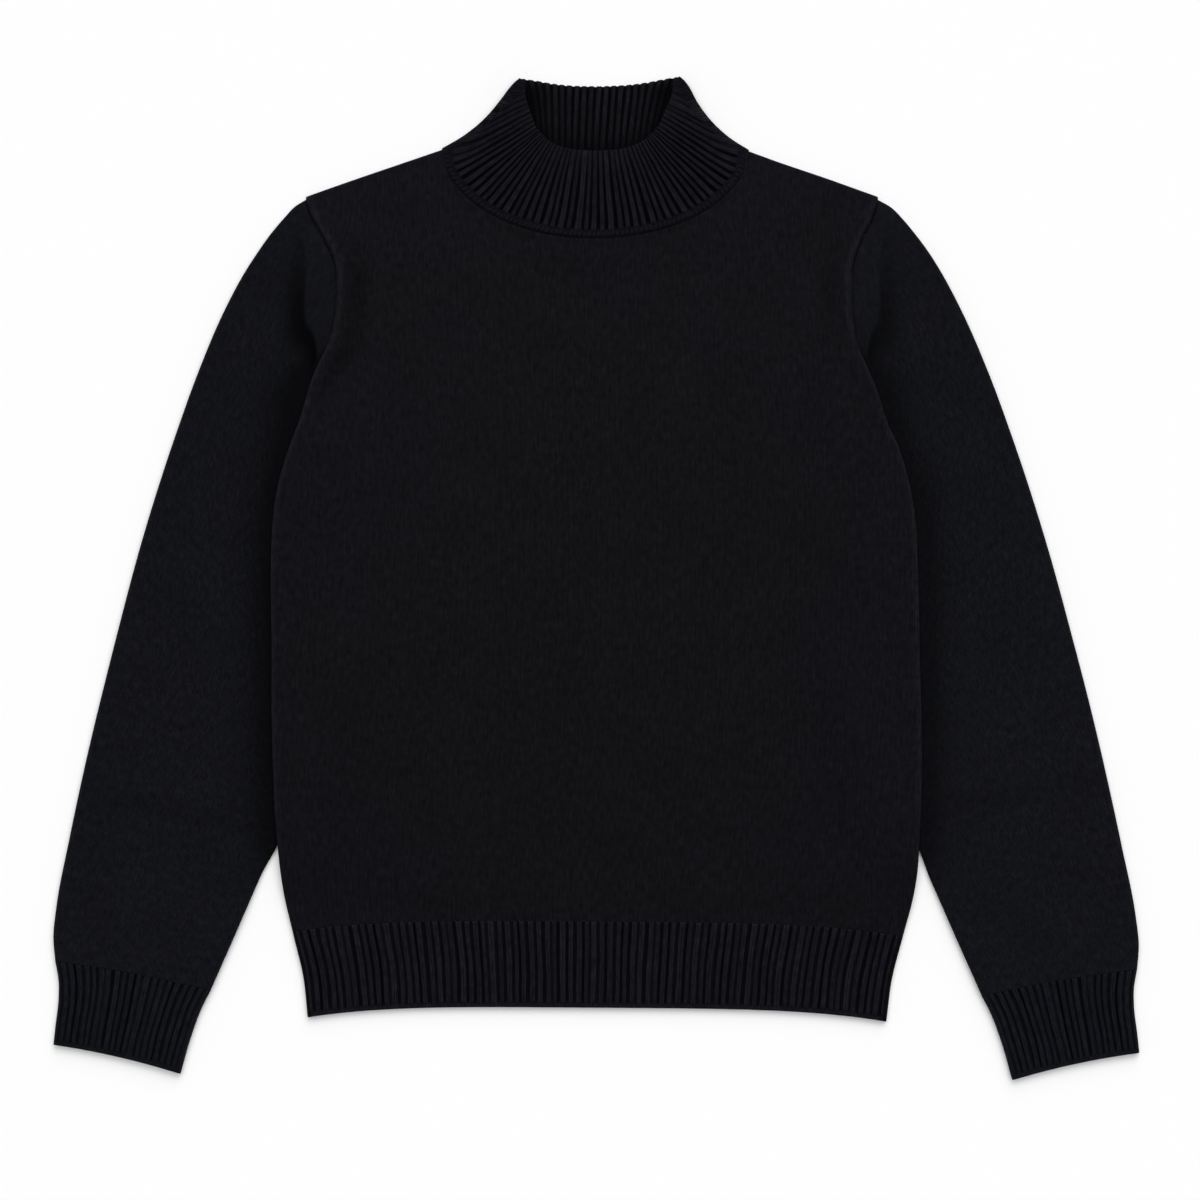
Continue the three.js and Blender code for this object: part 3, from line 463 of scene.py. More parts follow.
def make_panel(name, side, neck_bottom, sizes, material):
    """side is 1 for the front, which lies on top, and -1 for the back."""
    place, inset, on_neck = panel_columns(*sizes[:2])
    mirror = slice(None, 0, -1)
    sign = np.concatenate([-np.ones(len(place) - 1), np.ones(len(place))])
    place = np.concatenate([place[mirror], place])
    inset = np.concatenate([inset[mirror], inset])
    on_neck = np.concatenate([on_neck[mirror], on_neck])
    share = np.concatenate([np.linspace(0, 1, sizes[2]), np.ones(len(FOLD_INSETS))])[:, None]
    row_inset = np.concatenate([np.full(sizes[2], -1.0), FOLD_INSETS])[:, None]
    reach = SHOULDER["tip_x"] - EDGE_ZONE

    def across(edge, y):
        from_edge = np.clip((reach - place) / (reach - NECK["half_width"] - NECK_GAP), 0, 1)
        even = place * mix((edge - EDGE_ZONE) / reach, 1.0, smooth((y - 190) / 50) * from_edge)
        return np.where(inset >= 0, edge - inset, even)

    bottom = hem_line(HEM_RIB_TOP, across(HEM_RIB_TOP["half_width"], np.zeros(len(place)))) + SEAM_GAP
    neck = neckline(np.clip(place / (NECK["half_width"] + NECK_GAP), 0, 1), neck_bottom) - NECK_GAP
    shoulder = SHOULDER["neck_y"] + SHOULDER["slope"] * (place - NECK["half_width"])
    full = np.where(on_neck, neck, shoulder)
    y = np.where(row_inset < 0, mix(bottom, full - FOLD_INSETS[0] - 0.8, share), full - row_inset)
    edge = body_edge(y)
    x = across(edge, y)
    radius = BODY_HEIGHT / 2
    open_edge = smooth((y - ARMHOLE_END) / 14)
    from_side = np.where(inset >= 0, inset, FAR)
    side_fold = mix(round_edge(from_side, radius), 1.0, open_edge)
    shoulder_fold = np.where(on_neck, 1.0, round_edge(full - y, radius))
    profile = np.minimum(side_fold, shoulder_fold)
    lift = body_lift(x, y)
    near_neck = np.where(on_neck, full - y, FAR)
    detail = body_detail(x * sign, y, edge - x, near_neck) * profile if side > 0 else 0.0
    # painted highlight just outside the collar's base, then a little painted shade below it
    neck_painted_light = 1 + 0.5 * bell(near_neck, 1.2) - 0.15 * bell(near_neck - 4, 2.5)
    # painted shade in the hollows, and painted light growing towards the shoulders
    hollow_shade = (1 - creases(x * sign, y, BODY_PAINTED_SHADE)) * (1 + y / BODY_PAINTED_GRADE)
    rim = np.where(sign < 0, SIDE_PAINTED_RIM, SIDE_PAINTED_RIM_RIGHT)
    painted_light = seam_painted_light(edge - x, y, rim) * hollow_shade * neck_painted_light if side > 0 else 1.0
    half_gap = SEAM_GAP / 2
    face = radius + lift + side * np.maximum(radius * profile, half_gap) + detail
    outer = grid_points(x * sign, y, face)
    inward = JERSEY * (1 - profile)
    near_side = (inset >= 0) & (y < ARMHOLE_END + 14)
    x_in = np.where(near_side, x - inward, x)
    y_in = np.where((row_inset >= 0) & ~on_neck & ~near_side, y - inward, y)
    hollow = radius + lift + side * np.maximum((radius - JERSEY) * profile, half_gap)
    inner = grid_points(x_in * sign, y_in, hollow)
    cloth = np.stack([x * sign, y], axis=-1)
    return make_piece(name, outer, inner, False, cloth, material, painted_light)


def seam_painted_light(from_edge, y, rim):
    """The armhole seam is darker along its line, beside a rolled edge with a painted highlight. Below
    it the side edge has a painted highlight along its rim.
    """
    armhole = smooth((y - ARMHOLE_END - 6) / 16) * smooth((275 - y) / 12)
    line = bell(from_edge, 0.8) * mix(0.25, 0.85, smooth((y - 212) / 14))
    rolled = bell(from_edge - 3.4, 2.0)
    side_rim = bell(from_edge, 3.2) * (1 - armhole) * smooth((y + 215) / 60)
    return 1 + armhole * (0.55 * rolled - line) + rim * side_rim


def body_detail(x, y, from_edge, near_neck):
    """Raised seam edges, creases and unevenness of the front."""
    flat = smooth(from_edge / 18) * smooth((y + 262) / 20)
    armhole = smooth((y - ARMHOLE_END - 4) / 20)
    rolled = 0.9 * bell(from_edge - 3.0, 2.2) - 1.0 * bell(from_edge, 1.0)
    beside = -0.5 * bell(from_edge - 11, 6.0)
    seam = (rolled + beside) * armhole
    side_rim = 0.25 * bell(from_edge - 2.4, 1.6) * (1 - armhole)
    neck_dip = -0.3 * bell(near_neck, 6.0)
    soft = (ripple(x, y) - creases(x, y, BODY_CREASES)) * flat
    return seam + side_rim + neck_dip + soft


# Hem ribs

def end_profile(distance, wall):
    """How far a wall's face draws in towards its middle at a rounded free end."""
    return 0.42 * wall * (1 - round_edge(distance, wall / 2))


def rib_zone(from_end, length):
    """How ribbed the cloth is along a hem or cuff, how its flat tubular edge swells, and the painted
    light: a painted highlight on that swell and at the seam, and painted shade just above the flat
    edge.
    """
    from_seam = length - from_end
    ribbed = smooth((from_end - BORDER + 0.4) / 1.6) * smooth((from_seam + 0.3) / 1.4)
    swell = 0.35 * bell(from_end - 1.6, 1.6)
    border_painted_light = 1 + 0.25 * bell(from_end - 1.3, 1.1) - 0.15 * bell(from_end - 3.3, 0.8)
    return ribbed, swell, border_painted_light * (1 + 0.6 * bell(from_seam, 0.8))


def make_hem(name, side, material):
    inner_count = HEM_RIBS * (10 if side > 0 else 2)
    fold = FOLD_INSETS
    low = [0.0, 0.15, 0.4, 0.8, 1.3, 2.0, BORDER, 3.6, 4.4]
    high = [58.0, 58.8, 59.4, 59.8, HEM_LENGTH]
    from_end = np.concatenate([low, np.linspace(6, 57, 18), high])[:, None]
    share = from_end / HEM_LENGTH
    low_y = mix(HEM["centre_y"] - HEM["drop"], HEM_RIB_TOP["centre_y"] - HEM_RIB_TOP["drop"], share)
    edge = body_edge(low_y)
    even = np.linspace(-1, 1, inner_count + 1)[None, :]
    x = np.concatenate([-(edge - fold[::-1]), (edge - 3.2) * even, edge - fold], axis=1)
    ribs = uneven((even + 1) / 2 * HEM_RIBS + 0.5, from_end)
    first, last = (np.full((len(share), len(fold)), number + 0.5) for number in (0, HEM_RIBS))
    phase = np.concatenate([first, ribs, last], axis=1)
    y = mix(hem_line(HEM, x), hem_line(HEM_RIB_TOP, x), share)
    radius = BODY_HEIGHT / 2
    from_side = edge - np.abs(x)
    profile = round_edge(from_side, radius)
    ribbed, swell, light = rib_zone(from_end, HEM_LENGTH)
    drawn_in = end_profile(from_end, FREE_EDGE)
    ridge = (rib_rise(phase) * ribbed + swell) * profile if side > 0 else 0.0
    half = np.maximum(radius * profile, SEAM_GAP / 2)
    outer = grid_points(x, y, radius + side * (half - drawn_in) + ridge)
    inward = JERSEY * (1 - profile) * np.sign(x)
    wall = (radius - JERSEY - 0.2) * profile
    hollow = radius + side * (np.maximum(wall, SEAM_GAP / 2) + drawn_in)
    inner = grid_points(x - inward, y, hollow)
    cloth = np.stack([rib_wales(phase), y], axis=-1)
    painted_light = rib_painted_light(phase, ribbed, 0.4, 0.28) * light if side > 0 else 1.0
    return make_piece(name, outer, inner, False, cloth, material, painted_light)


def rib_wales(phase):
    """Place across the cloth: each rib is two wales and a groove."""
    return (phase * 3 + 0.5) * RIB_WALE


# Sleeves and cuffs

pleat_shade = table(PLEAT_SHADE)
sleeve_outer = path(SLEEVE_OUTER)
sleeve_inner = path(SLEEVE_INNER)


def armhole_x(y):
    return np.where(y > ARMHOLE_END, body_edge(y), hidden_armhole(y)) + SEAM_GAP


def armhole_y(t):
    return mix(SLEEVE_OUTER[0][1], UNDERARM["y"], t)


def sleeve_plan(t, v):
    outer_x, outer_y = sleeve_outer(v)
    inner_x, inner_y = sleeve_inner(v)
    bow = (1 - v) ** 5 * (armhole_x(armhole_y(t)) - mix(SLEEVE_OUTER[0][0], UNDERARM["x"], t))
    x = mix(outer_x, inner_x, t) + bow
    y = mix(outer_y, inner_y, t) + CUFF_LINE_BOW * v ** 6 * 4 * t * (1 - t)
    return x, y


def sleeve_crown(x, y):
    """Height of the sleeve away from the armhole."""
    fold = armhole_x(y) + pleat_width(y) + 6
    edge = mix(body_edge(y) + 3, fold, smooth((y - ARMHOLE_END + 8) / 16))
    return mix(SLEEVE_TUCKED, SLEEVE_CROWN, smooth((x - edge) / 32))


def sleeve_height(x, y, t, distance):
    """Height with the pleat: a strip level with the body, a fold, a trough, then the crown."""
    seam_y = armhole_y(t)
    width = pleat_width(seam_y)
    strip = BODY_HEIGHT + body_lift(body_edge(seam_y), seam_y) - 0.3
    strip = mix(strip, SLEEVE_TUCKED, smooth((172 - seam_y) / 20))
    crown = sleeve_crown(x, y)
    pleated = smooth((264 - seam_y) / 30) * smooth((seam_y - 140) / 12)
    past = distance - width
    strip = strip + PLEAT_RAISE * pleated * bell(past + 5, 6.0)
    strip = strip - 1.0 * bell(distance, 1.0) * smooth((seam_y - 160) / 20)
    trough = mix(mix(strip, crown, 0.5), PLEAT_TROUGH, pleated)
    fold = smooth((past + 1.6) / (PLEAT_DROP + 1.6))
    climb = smooth((past - PLEAT_DROP - PLEAT_FLOOR * 0.4) / 30)
    return mix(mix(strip, trough, fold), crown, climb)


def sleeve_painted_light(t, distance, share):
    """Darker along the seam's line, painted shade in the trough outside the pleat, and a painted
    highlight on the strip.
    """
    seam_y = armhole_y(t)
    past = distance - pleat_width(seam_y)
    floor = 6 + 7 * smooth((seam_y - 190) / 30)
    trough = smooth((past + 1.5) / 3) * tail(past - floor, 12, 1.4)
    line = bell(distance, 0.7) * smooth((seam_y - 212) / 14) * smooth((275 - seam_y) / 12)
    strip = smooth((-past) / 3) * smooth((seam_y - 160) / 20) * smooth((250 - seam_y) / 20)
    return (1 + 0.12 * strip) * (1 - share * pleat_shade(seam_y) * trough) * (1 - 0.7 * line)


def ring_stations(front_count, back_count, insets):
    """Stations round a flat tube: share of the way from the outer to the inner fold, the inset
    from a fold or -1, which fold, and 1 on the front, -1 on the back, 0 on a fold."""
    front = np.linspace(0, 1, front_count)
    back = np.linspace(1, 0, back_count)
    n = len(insets)
    share = np.concatenate([[0], np.zeros(n), front, np.ones(n), [1], np.ones(n), back, np.zeros(n)])
    inset = np.concatenate([[0], insets, -np.ones(front_count), insets[::-1], [0], insets,
                            -np.ones(back_count), insets[::-1]])
    side = np.concatenate([[0], np.ones(2 * n + front_count), [0], -np.ones(2 * n + back_count)])
    return share, inset, side


BACK_OF_SLEEVE = 400  # where the back of a sleeve lies on the cloth's own map, and of a cuff
BACK_OF_CUFF = 300
SLEEVE_LENGTH = 590
TUBE_INSETS = np.array([0.12, 0.4, 0.8, 1.35, 2.0, 2.8])
TUBE_FOLD = 3.2  # radius of a sleeve's fold in the plan
TUBE_MARGIN = 3.6


def nothing(*_):
    return 0.0


def tube_grids(hand, stations, length, place, height, ridge=nothing, shrink=nothing):
    """Outer and inner grids of a flat tube on the side that hand gives, 1 or -1. place(t) gives the
    plan, height(x, y, t) the top, ridge(t, side) what stands out of it and shrink(t) how far a free
    end draws in."""
    share, inset, side = stations
    end = np.round(share)
    margin = TUBE_MARGIN / length

    def layer(wall):
        moved = wall + inset * (TUBE_FOLD - wall) / TUBE_FOLD
        near = np.abs(end - np.minimum(0.4, moved / length))
        even = margin + (1 - 2 * margin) * share
        t = np.where(inset >= 0, near, even)
        x, y = place(t)
        top = height(x, y, t)
        half = top / 2
        profile = round_edge(np.where(inset >= 0, inset, FAR), TUBE_FOLD)
        reach = np.maximum(half - wall, 0.15)
        pull = shrink(t) * (1 if wall == 0 else -1)
        rise = ridge(t, side) * profile if wall == 0 else 0.0
        z = half + side * (reach - pull) * profile + rise
        return grid_points(x * hand, y, z), t

    outer, t = layer(0.0)
    inner, _ = layer(JERSEY)
    return outer, inner, t


def make_sleeve(name, side, crease_rows, material):
    near = np.concatenate([np.linspace(0, 0.085, 46), np.linspace(0.085, 0.16, 22)[1:]])
    far = np.linspace(0.16, 1.0, 110)[1:]
    v = np.concatenate([near, far])[:, None]
    stations = ring_stations(110, 30, TUBE_INSETS)
    x0, y0 = sleeve_plan(np.zeros_like(v), v)
    x1, y1 = sleeve_plan(np.ones_like(v), v)
    length = np.hypot(x1 - x0, y1 - y0)

    def place(t):
        return sleeve_plan(t, v)

    def from_armhole(x, y, t):
        start_x, start_y = sleeve_plan(t, 0 * v)
        return np.hypot(x - start_x, y - start_y)

    def height(x, y, t):
        distance = from_armhole(x, y, t)
        high = sleeve_height(x, y, t, distance)
        free = smooth((x - body_edge(y) - 6) / 14) * smooth((distance - 30) / 20)
        soft = creases(x * side, y, crease_rows) - ripple(x * side + 40, y)
        return high - soft * free

    outer, inner, t = tube_grids(side, stations, length, place, height)
    along = -v * SLEEVE_LENGTH + 0 * t
    across = (t - 0.5) * length + np.where(stations[2] < 0, BACK_OF_SLEEVE, 0)
    cloth = np.stack([across, along], axis=-1)
    x, y = place(t)
    distance = from_armhole(x, y, t)
    painted_light = sleeve_painted_light(t, distance, 1.0 if side < 0 else PLEAT_SHADE_RIGHT)
    tuck = (TUCK_SHADE, TUCK_WIDE) if side < 0 else (TUCK_SHADE_RIGHT, TUCK_WIDE_RIGHT)
    painted_light = np.minimum(painted_light, tuck_painted_shadow(x, y, *tuck))
    painted_light = painted_light * (1 - creases(x * side, y, SLEEVE_PAINTED_SHADE))
    return make_piece(name, outer, inner, True, cloth, material, painted_light)


def tuck_painted_shadow(x, y, share, wide):
    """Painted shadow on the sleeve close to the body that lies over it."""
    past = x - body_edge(y)
    under = smooth((ARMHOLE_END + 11 - y) / 12) * smooth((y + 250) / 60)
    level = mix(TUCK_FLOOR, wide, smooth((y - 95) / 35))
    return 1 - share * under * tail(past - level, 11.5, 1.5)


def make_cuff(name, side, material):
    cuff_outer = path(CUFF_OUTER)
    cuff_inner = path(CUFF_INNER)
    high = [55.5, 56.6, 57.4, 58.2, 59.0, 59.6, 60.0, CUFF_LENGTH]
    from_seam = np.concatenate([[0.0, 0.4, 0.9, 1.6, 2.4], np.linspace(4, 54, 18), high])[:, None]
    v = from_seam / CUFF_LENGTH
    stations = ring_stations(CUFF_RIBS * 10 + 1, 24, TUBE_INSETS)
    ox, oy = cuff_outer(v)
    ix, iy = cuff_inner(v)
    length = np.hypot(ox - ix, oy - iy)

    def place(t):
        return mix(ox, ix, t), mix(oy, iy, t) + CUFF_LINE_BOW * 4 * t * (1 - t)

    from_end = CUFF_LENGTH - from_seam
    ribbed, swell, light = rib_zone(from_end, CUFF_LENGTH)

    def rib_phase(t):
        margin = TUBE_MARGIN / length
        return uneven((t - margin) / (1 - 2 * margin) * CUFF_RIBS, from_seam)

    def ridge(t, where):
        return (rib_rise(rib_phase(t)) * ribbed + swell) * (where > 0)

    def shrink(t):
        return end_profile(from_end, FREE_EDGE)

    def height(x, y, t):
        return CUFF_HEIGHT

    outer, inner, t = tube_grids(side, stations, length, place, height, ridge, shrink)
    across = rib_wales(rib_phase(t)) + np.where(stations[2] < 0, BACK_OF_CUFF, 0)
    cloth = np.stack([across, -v * RIB_STRIP + 0 * t], axis=-1)
    on_top = rib_painted_light(rib_phase(t), ribbed, 0.38, 0.42) * light
    painted_light = np.where(stations[2] > 0, on_top, 1.0)
    return make_piece(name, outer, inner, True, cloth, material, painted_light)


# Collar

collar_side = table(COLLAR_SIDE)
collar_crown = table(COLLAR_CROWN)
mouth_front = [table(MOUTH_FRONT, column) for column in (1, 2)]
mouth_back = [table(MOUTH_BACK, column) for column in (1, 2)]
rib_at_mouth = table(RIB_AT_MOUTH)


def base_point(share, far_y):
    """Point of the neck's half ellipse at a share of its length, from the corner to the middle."""
    angle = np.linspace(0, math.pi / 2, 400)
    drop = NECK["corner_y"] - far_y
    x = NECK["half_width"] * np.cos(angle)
    y = NECK["corner_y"] - drop * np.sin(angle)
    length = np.concatenate([[0], np.cumsum(np.hypot(np.diff(x), np.diff(y)))])
    return np.interp(share * length[-1], length, x), np.interp(share * length[-1], length, y)


def collar_plan(turn, level):
    """Plan point of the collar at a turn round it, front first, and a level from the base."""
    front = turn <= 0.5
    round_half = np.where(front, turn, turn - 0.5) * 4
    share = np.where(round_half > 1, 2 - round_half, round_half)
    side = np.where(front, 1, -1) * np.where(round_half > 1, -1, 1)
    base_x, base_y = (np.where(front, f, b) for f, b in zip(base_point(share, NECK["front_y"]),
                                                            base_point(share, NECK["back_y"])))
    top_x, top_y = (np.where(front, f(share), b(share)) for f, b in zip(mouth_front, mouth_back))
    inward = mix(collar_side(level), level, 0.95 * smooth(share / 0.14))
    x = mix(base_x, top_x, inward)
    y = mix(base_y, top_y, level)
    edge = mix(NECK["half_width"], MOUTH_FRONT[0][1], collar_side(level))
    return x * side, y, edge - x, front


def collar_rib_phase(turn, share, rise):
    """Count of the ribs on the front: they fan out, and the first ones cross the collar's side."""
    number = mix(COLLAR_RIBS / 2 * share, rib_at_mouth(share), np.clip(rise, 0, 1))
    return uneven(np.where(turn < 0.25, number, COLLAR_RIBS - number) + 0.5, rise * 55)


def inside_rib_phase(x, y):
    """Count of the ribs inside the back: they close up towards the neck, most of all at the sides."""
    closing = INSIDE_CLOSING + INSIDE_SPLAY * np.minimum(np.abs(x) / 50, 1.2) ** 2
    waver = 0.03 * np.sin(y * 0.1 + x * 0.35)
    return x * (1 + closing * (352 - y)) / INSIDE_PITCH + 0.5 + waver


def inside_painted_light(x, y, ribs):
    """Painted shade inside the collar, darkest deep down and beside the edge of the front, with a
    painted shadow under that edge and painted highlights on the ribs near the mouth.
    """
    front_x = np.abs(x)
    _, edge_x, edge_y = np.array(MOUTH_FRONT[::-1]).T
    edge_y = np.interp(front_x, edge_x, edge_y)
    deep = smooth((353 - y) / 55)
    beside = tail(53 - front_x, 15) * smooth((356 - y) / 6)
    shadow = tail(y - edge_y, 7)
    lit = rib_painted_light(ribs, 1.0, 0.34, 0.06) * mix(1.12, 0.75, deep) * (1 - 0.9 * beside)
    return lit * (1 - 0.55 * shadow)


def outside_painted_light(ribs, ribbed, share, level):
    """Painted shade in the grooves, darkest at the base and lighter at the mouth and the sides; painted
    highlights on the ridges and at the base's lower edge, and the band below the ribs darker.
    """
    near_mouth = smooth((level - 0.62) / 0.36)
    groove = np.maximum(mix(0.05, 0.36, near_mouth), 0.6 * (1 - smooth(share / 0.2)))
    band_painted_light = mix(0.75, 1.12, ribbed) * (1 + 1.2 * smooth((0.02 - level) / 0.02))
    return rib_painted_light(ribs, ribbed, mix(0.36, 0.5, near_mouth), groove) * band_painted_light


def collar_grid():
    """Turns round the collar and levels up it, closest together at its corners and rims."""
    front = np.concatenate([[0.0, 0.001, 0.003, 0.006], np.linspace(0.01, 0.49, COLLAR_RIBS * 10),
                            [0.494, 0.497, 0.499, 0.5]])
    back = np.concatenate([[0.501, 0.503, 0.506], np.linspace(0.51, 0.99, COLLAR_BACK_RIBS * 10),
                           [0.994, 0.997, 0.999]])
    low = [0, 0.006, 0.014, 0.025, 0.04, 0.055, 0.07, 0.08, 0.09, 0.1, 0.11, 0.125]
    high = [0.945, 0.958, 0.969, 0.978, 0.985, 0.991, 0.996, 1.0]
    level = np.concatenate([low, np.linspace(0.145, 0.93, 40), high])
    return np.concatenate([front, back])[None, :], level[:, None]


def make_collar(name, material):
    turn, level = collar_grid()
    rise = (level - COLLAR_BAND) / (1 - COLLAR_BAND)
    share = 1 - np.abs(1 - turn * 4)
    ribs = collar_rib_phase(turn, share, rise)
    corner = smooth((0.075 - share) / 0.045) * smooth((level - 0.62) / 0.2)
    ribbed = smooth((level - COLLAR_BAND - 0.004) / 0.02) * (1 - corner)
    from_mouth = (1 - level) * COLLAR_DEPTH
    mouth = 0.46 * COLLAR_WALL * (1 - round_edge(from_mouth, COLLAR_WALL / 2))
    base = 0.4 * COLLAR_WALL * (1 - round_edge(level * RIB_STRIP, 1.2))
    x, y, from_fold, front = collar_plan(turn, level)
    half = (collar_crown(level) - 0.9 * bell(from_mouth, 5.0)) / 2
    away = np.where(front, 1.0, -1.0)
    inside_ribs = inside_rib_phase(x, y)
    depth = mix(1.0, 0.6, smooth((10 - from_mouth) / 12)) * mix(0.5, 1.0, smooth(share / 0.2))
    rim_bumps = 0.5 * (rib_height(inside_ribs) - 0.6) * smooth((level - 0.95) / 0.05) * ~front

    def layer(inside):
        wall = COLLAR_WALL if inside else 0.0
        profile = round_edge(np.maximum(from_fold - wall, 0), half)
        reach = half - wall + (mouth + base) * (1 if inside else -1)
        ridge = rib_rise(inside_ribs) * ~front if inside else rib_rise(ribs) * depth * ribbed * front
        moved_in = wall * tail(from_fold, 3) * np.sign(x)
        z = half + away * np.maximum(reach, 0.1) * profile + ridge * profile
        return grid_points(x - moved_in, y + rim_bumps, z)

    across = rib_wales(np.where(front, ribs, inside_ribs))
    cloth = np.stack([across, level * RIB_STRIP + 0 * turn], axis=-1)
    outside = np.where(front, outside_painted_light(ribs, ribbed, share, level), 1.0)
    # the front's inner face, out of sight, gets an even painted shade
    inside = np.where(front, 0.4, inside_painted_light(x, y, inside_ribs))
    return make_piece(name, layer(False), layer(True), True, cloth, material, outside, inside)


STITCH_PITCH = 3.4
STITCH_SIZE = (4.4, 2.8, 1.1)
# Painted highlight on the linked stitches:
STITCH_PAINTED_LIGHT = 1.8


def make_stitches(name, rows, material, sizes):
    """Small raised stitches, each an oval dome at (x, y, z) with its direction in the plan."""
    rings = 4
    sides = 10
    lie = np.linspace(0, math.pi / 2, rings + 1)[:-1, None]
    spin = np.linspace(0, 2 * math.pi, sides, endpoint=False)[None, :]
    out = np.cos(lie) / 2
    dome = grid_points(out * np.cos(spin), out * np.sin(spin), np.sin(lie) + 0 * spin)
    dome = np.concatenate([dome.reshape(-1, 3), [(0, 0, 1), (0, 0, -0.5)]]) * sizes
    number = np.arange(rings * sides).reshape(rings, sides)
    beside = np.roll(number, -1, axis=1)
    top = rings * sides
    patch = np.stack([number[:-1], beside[:-1], beside[1:], number[1:]], axis=-1)
    patch = patch.reshape(-1, 4).tolist()
    patch += [(a, b, top) for a, b in zip(number[-1], beside[-1])]
    patch += [(b, a, top + 1) for a, b in zip(number[0], beside[0])]
    x, y, z, run_x, run_y = (column[:, None] for column in np.array(rows).T)
    along, over, rise = dome.T
    points = grid_points(x + along * run_x - over * run_y, y + along * run_y + over * run_x, z + rise)
    points = points.reshape(-1, 3)
    as_laid(points)
    faces = [[corner + i * len(dome) for corner in face] for i in range(len(rows)) for face in patch]
    mesh = bpy.data.meshes.new(name)
    mesh.from_pydata((points * MM).tolist(), [], faces)
    mesh.shade_smooth()
    mesh.uv_layers.new(name="cloth")
    return finish_piece(name, mesh, np.full(len(points), STITCH_PAINTED_LIGHT), material)


def linking_rows():
    """Stitches of the linked seam, side by side along the collar's base."""
    rows = []
    turns = np.linspace(0.012, 0.488, 1500)
    x, y, from_fold, _ = collar_plan(turns, np.full_like(turns, 0.04))
    low_x, low_y, _, _ = collar_plan(turns, np.full_like(turns, 0.0))
    high_x, high_y, _, _ = collar_plan(turns, np.full_like(turns, 0.08))
    length = np.concatenate([[0], np.cumsum(np.hypot(np.diff(x), np.diff(y)))])
    half = float(collar_crown(0.04)) / 2
    for i, place in enumerate(np.arange(1.0, length[-1], STITCH_PITCH)):
        k = int(np.searchsorted(length, place))
        run = np.array([high_x[k] - low_x[k], high_y[k] - low_y[k]])
        run = run / np.hypot(*run)
        lean = 0.45 + 0.3 * math.sin(i * 2.3)
        turned = (run[0] + lean * run[1], run[1] - lean * run[0])
        size = math.hypot(*turned)
        z = half + half * float(round_edge(from_fold[k], half)) - 0.35 + 0.25 * math.sin(i * 1.7)
        rows.append((x[k], y[k], z, turned[0] / size, turned[1] / size))
    return rows


# Materials

def node(tree, kind, **settings):
    made = tree.nodes.new(kind)
    for key, value in settings.items():
        setattr(made, key, value)
    return made


class Graph:
    """Short calls for building a material's arithmetic."""

    def __init__(self, tree):
        self.tree = tree

    def math(self, operation, *values, clamp=False):
        made = node(self.tree, "ShaderNodeMath", operation=operation, use_clamp=clamp)
        for socket, value in zip(made.inputs, values):
            if isinstance(value, (int, float)):
                socket.default_value = value
            else:
                self.tree.links.new(value, socket)
        return made.outputs[0]

    def noise(self, vector, scale, detail, roughness=0.5):
        made = node(self.tree, "ShaderNodeTexNoise")
        made.inputs["Scale"].default_value = scale
        made.inputs["Detail"].default_value = detail
        made.inputs["Roughness"].default_value = roughness
        self.tree.links.new(vector, made.inputs["Vector"])
        return made.outputs["Fac"]

    def scaled(self, vector, across, along):
        made = node(self.tree, "ShaderNodeVectorMath", operation="MULTIPLY")
        made.inputs[1].default_value = (across, along, 1.0)
        self.tree.links.new(vector, made.inputs[0])
        return made.outputs[0]

    def times(self, *values):
        product = values[0]
        for value in values[1:]:
            product = self.math("MULTIPLY", product, value)
        return product

    def wave(self, value, turns):
        """1 where the value is 0, and 0 half a turn away."""
        turned = self.math("COSINE", self.math("MULTIPLY", value, turns * 2 * math.pi))
        return self.math("ADD", self.math("MULTIPLY", turned, 0.5), 0.5)

    def vary(self, noise, amount):
        return self.spread(noise, 0.3, 0.7, 1 - amount, 1 + amount)

    def spread(self, value, low, high, to_low, to_high):
        made = node(self.tree, "ShaderNodeMapRange")
        numbers = {"From Min": low, "From Max": high, "To Min": to_low, "To Max": to_high}
        for name, number in numbers.items():
            made.inputs[name].default_value = number
        self.tree.links.new(value, made.inputs["Value"])
        return made.outputs["Result"]


PAINTED_LIGHT_TOP = 3.0  # the tone, painted light and shade included, is held between 0 and this, to keep it inside a mix


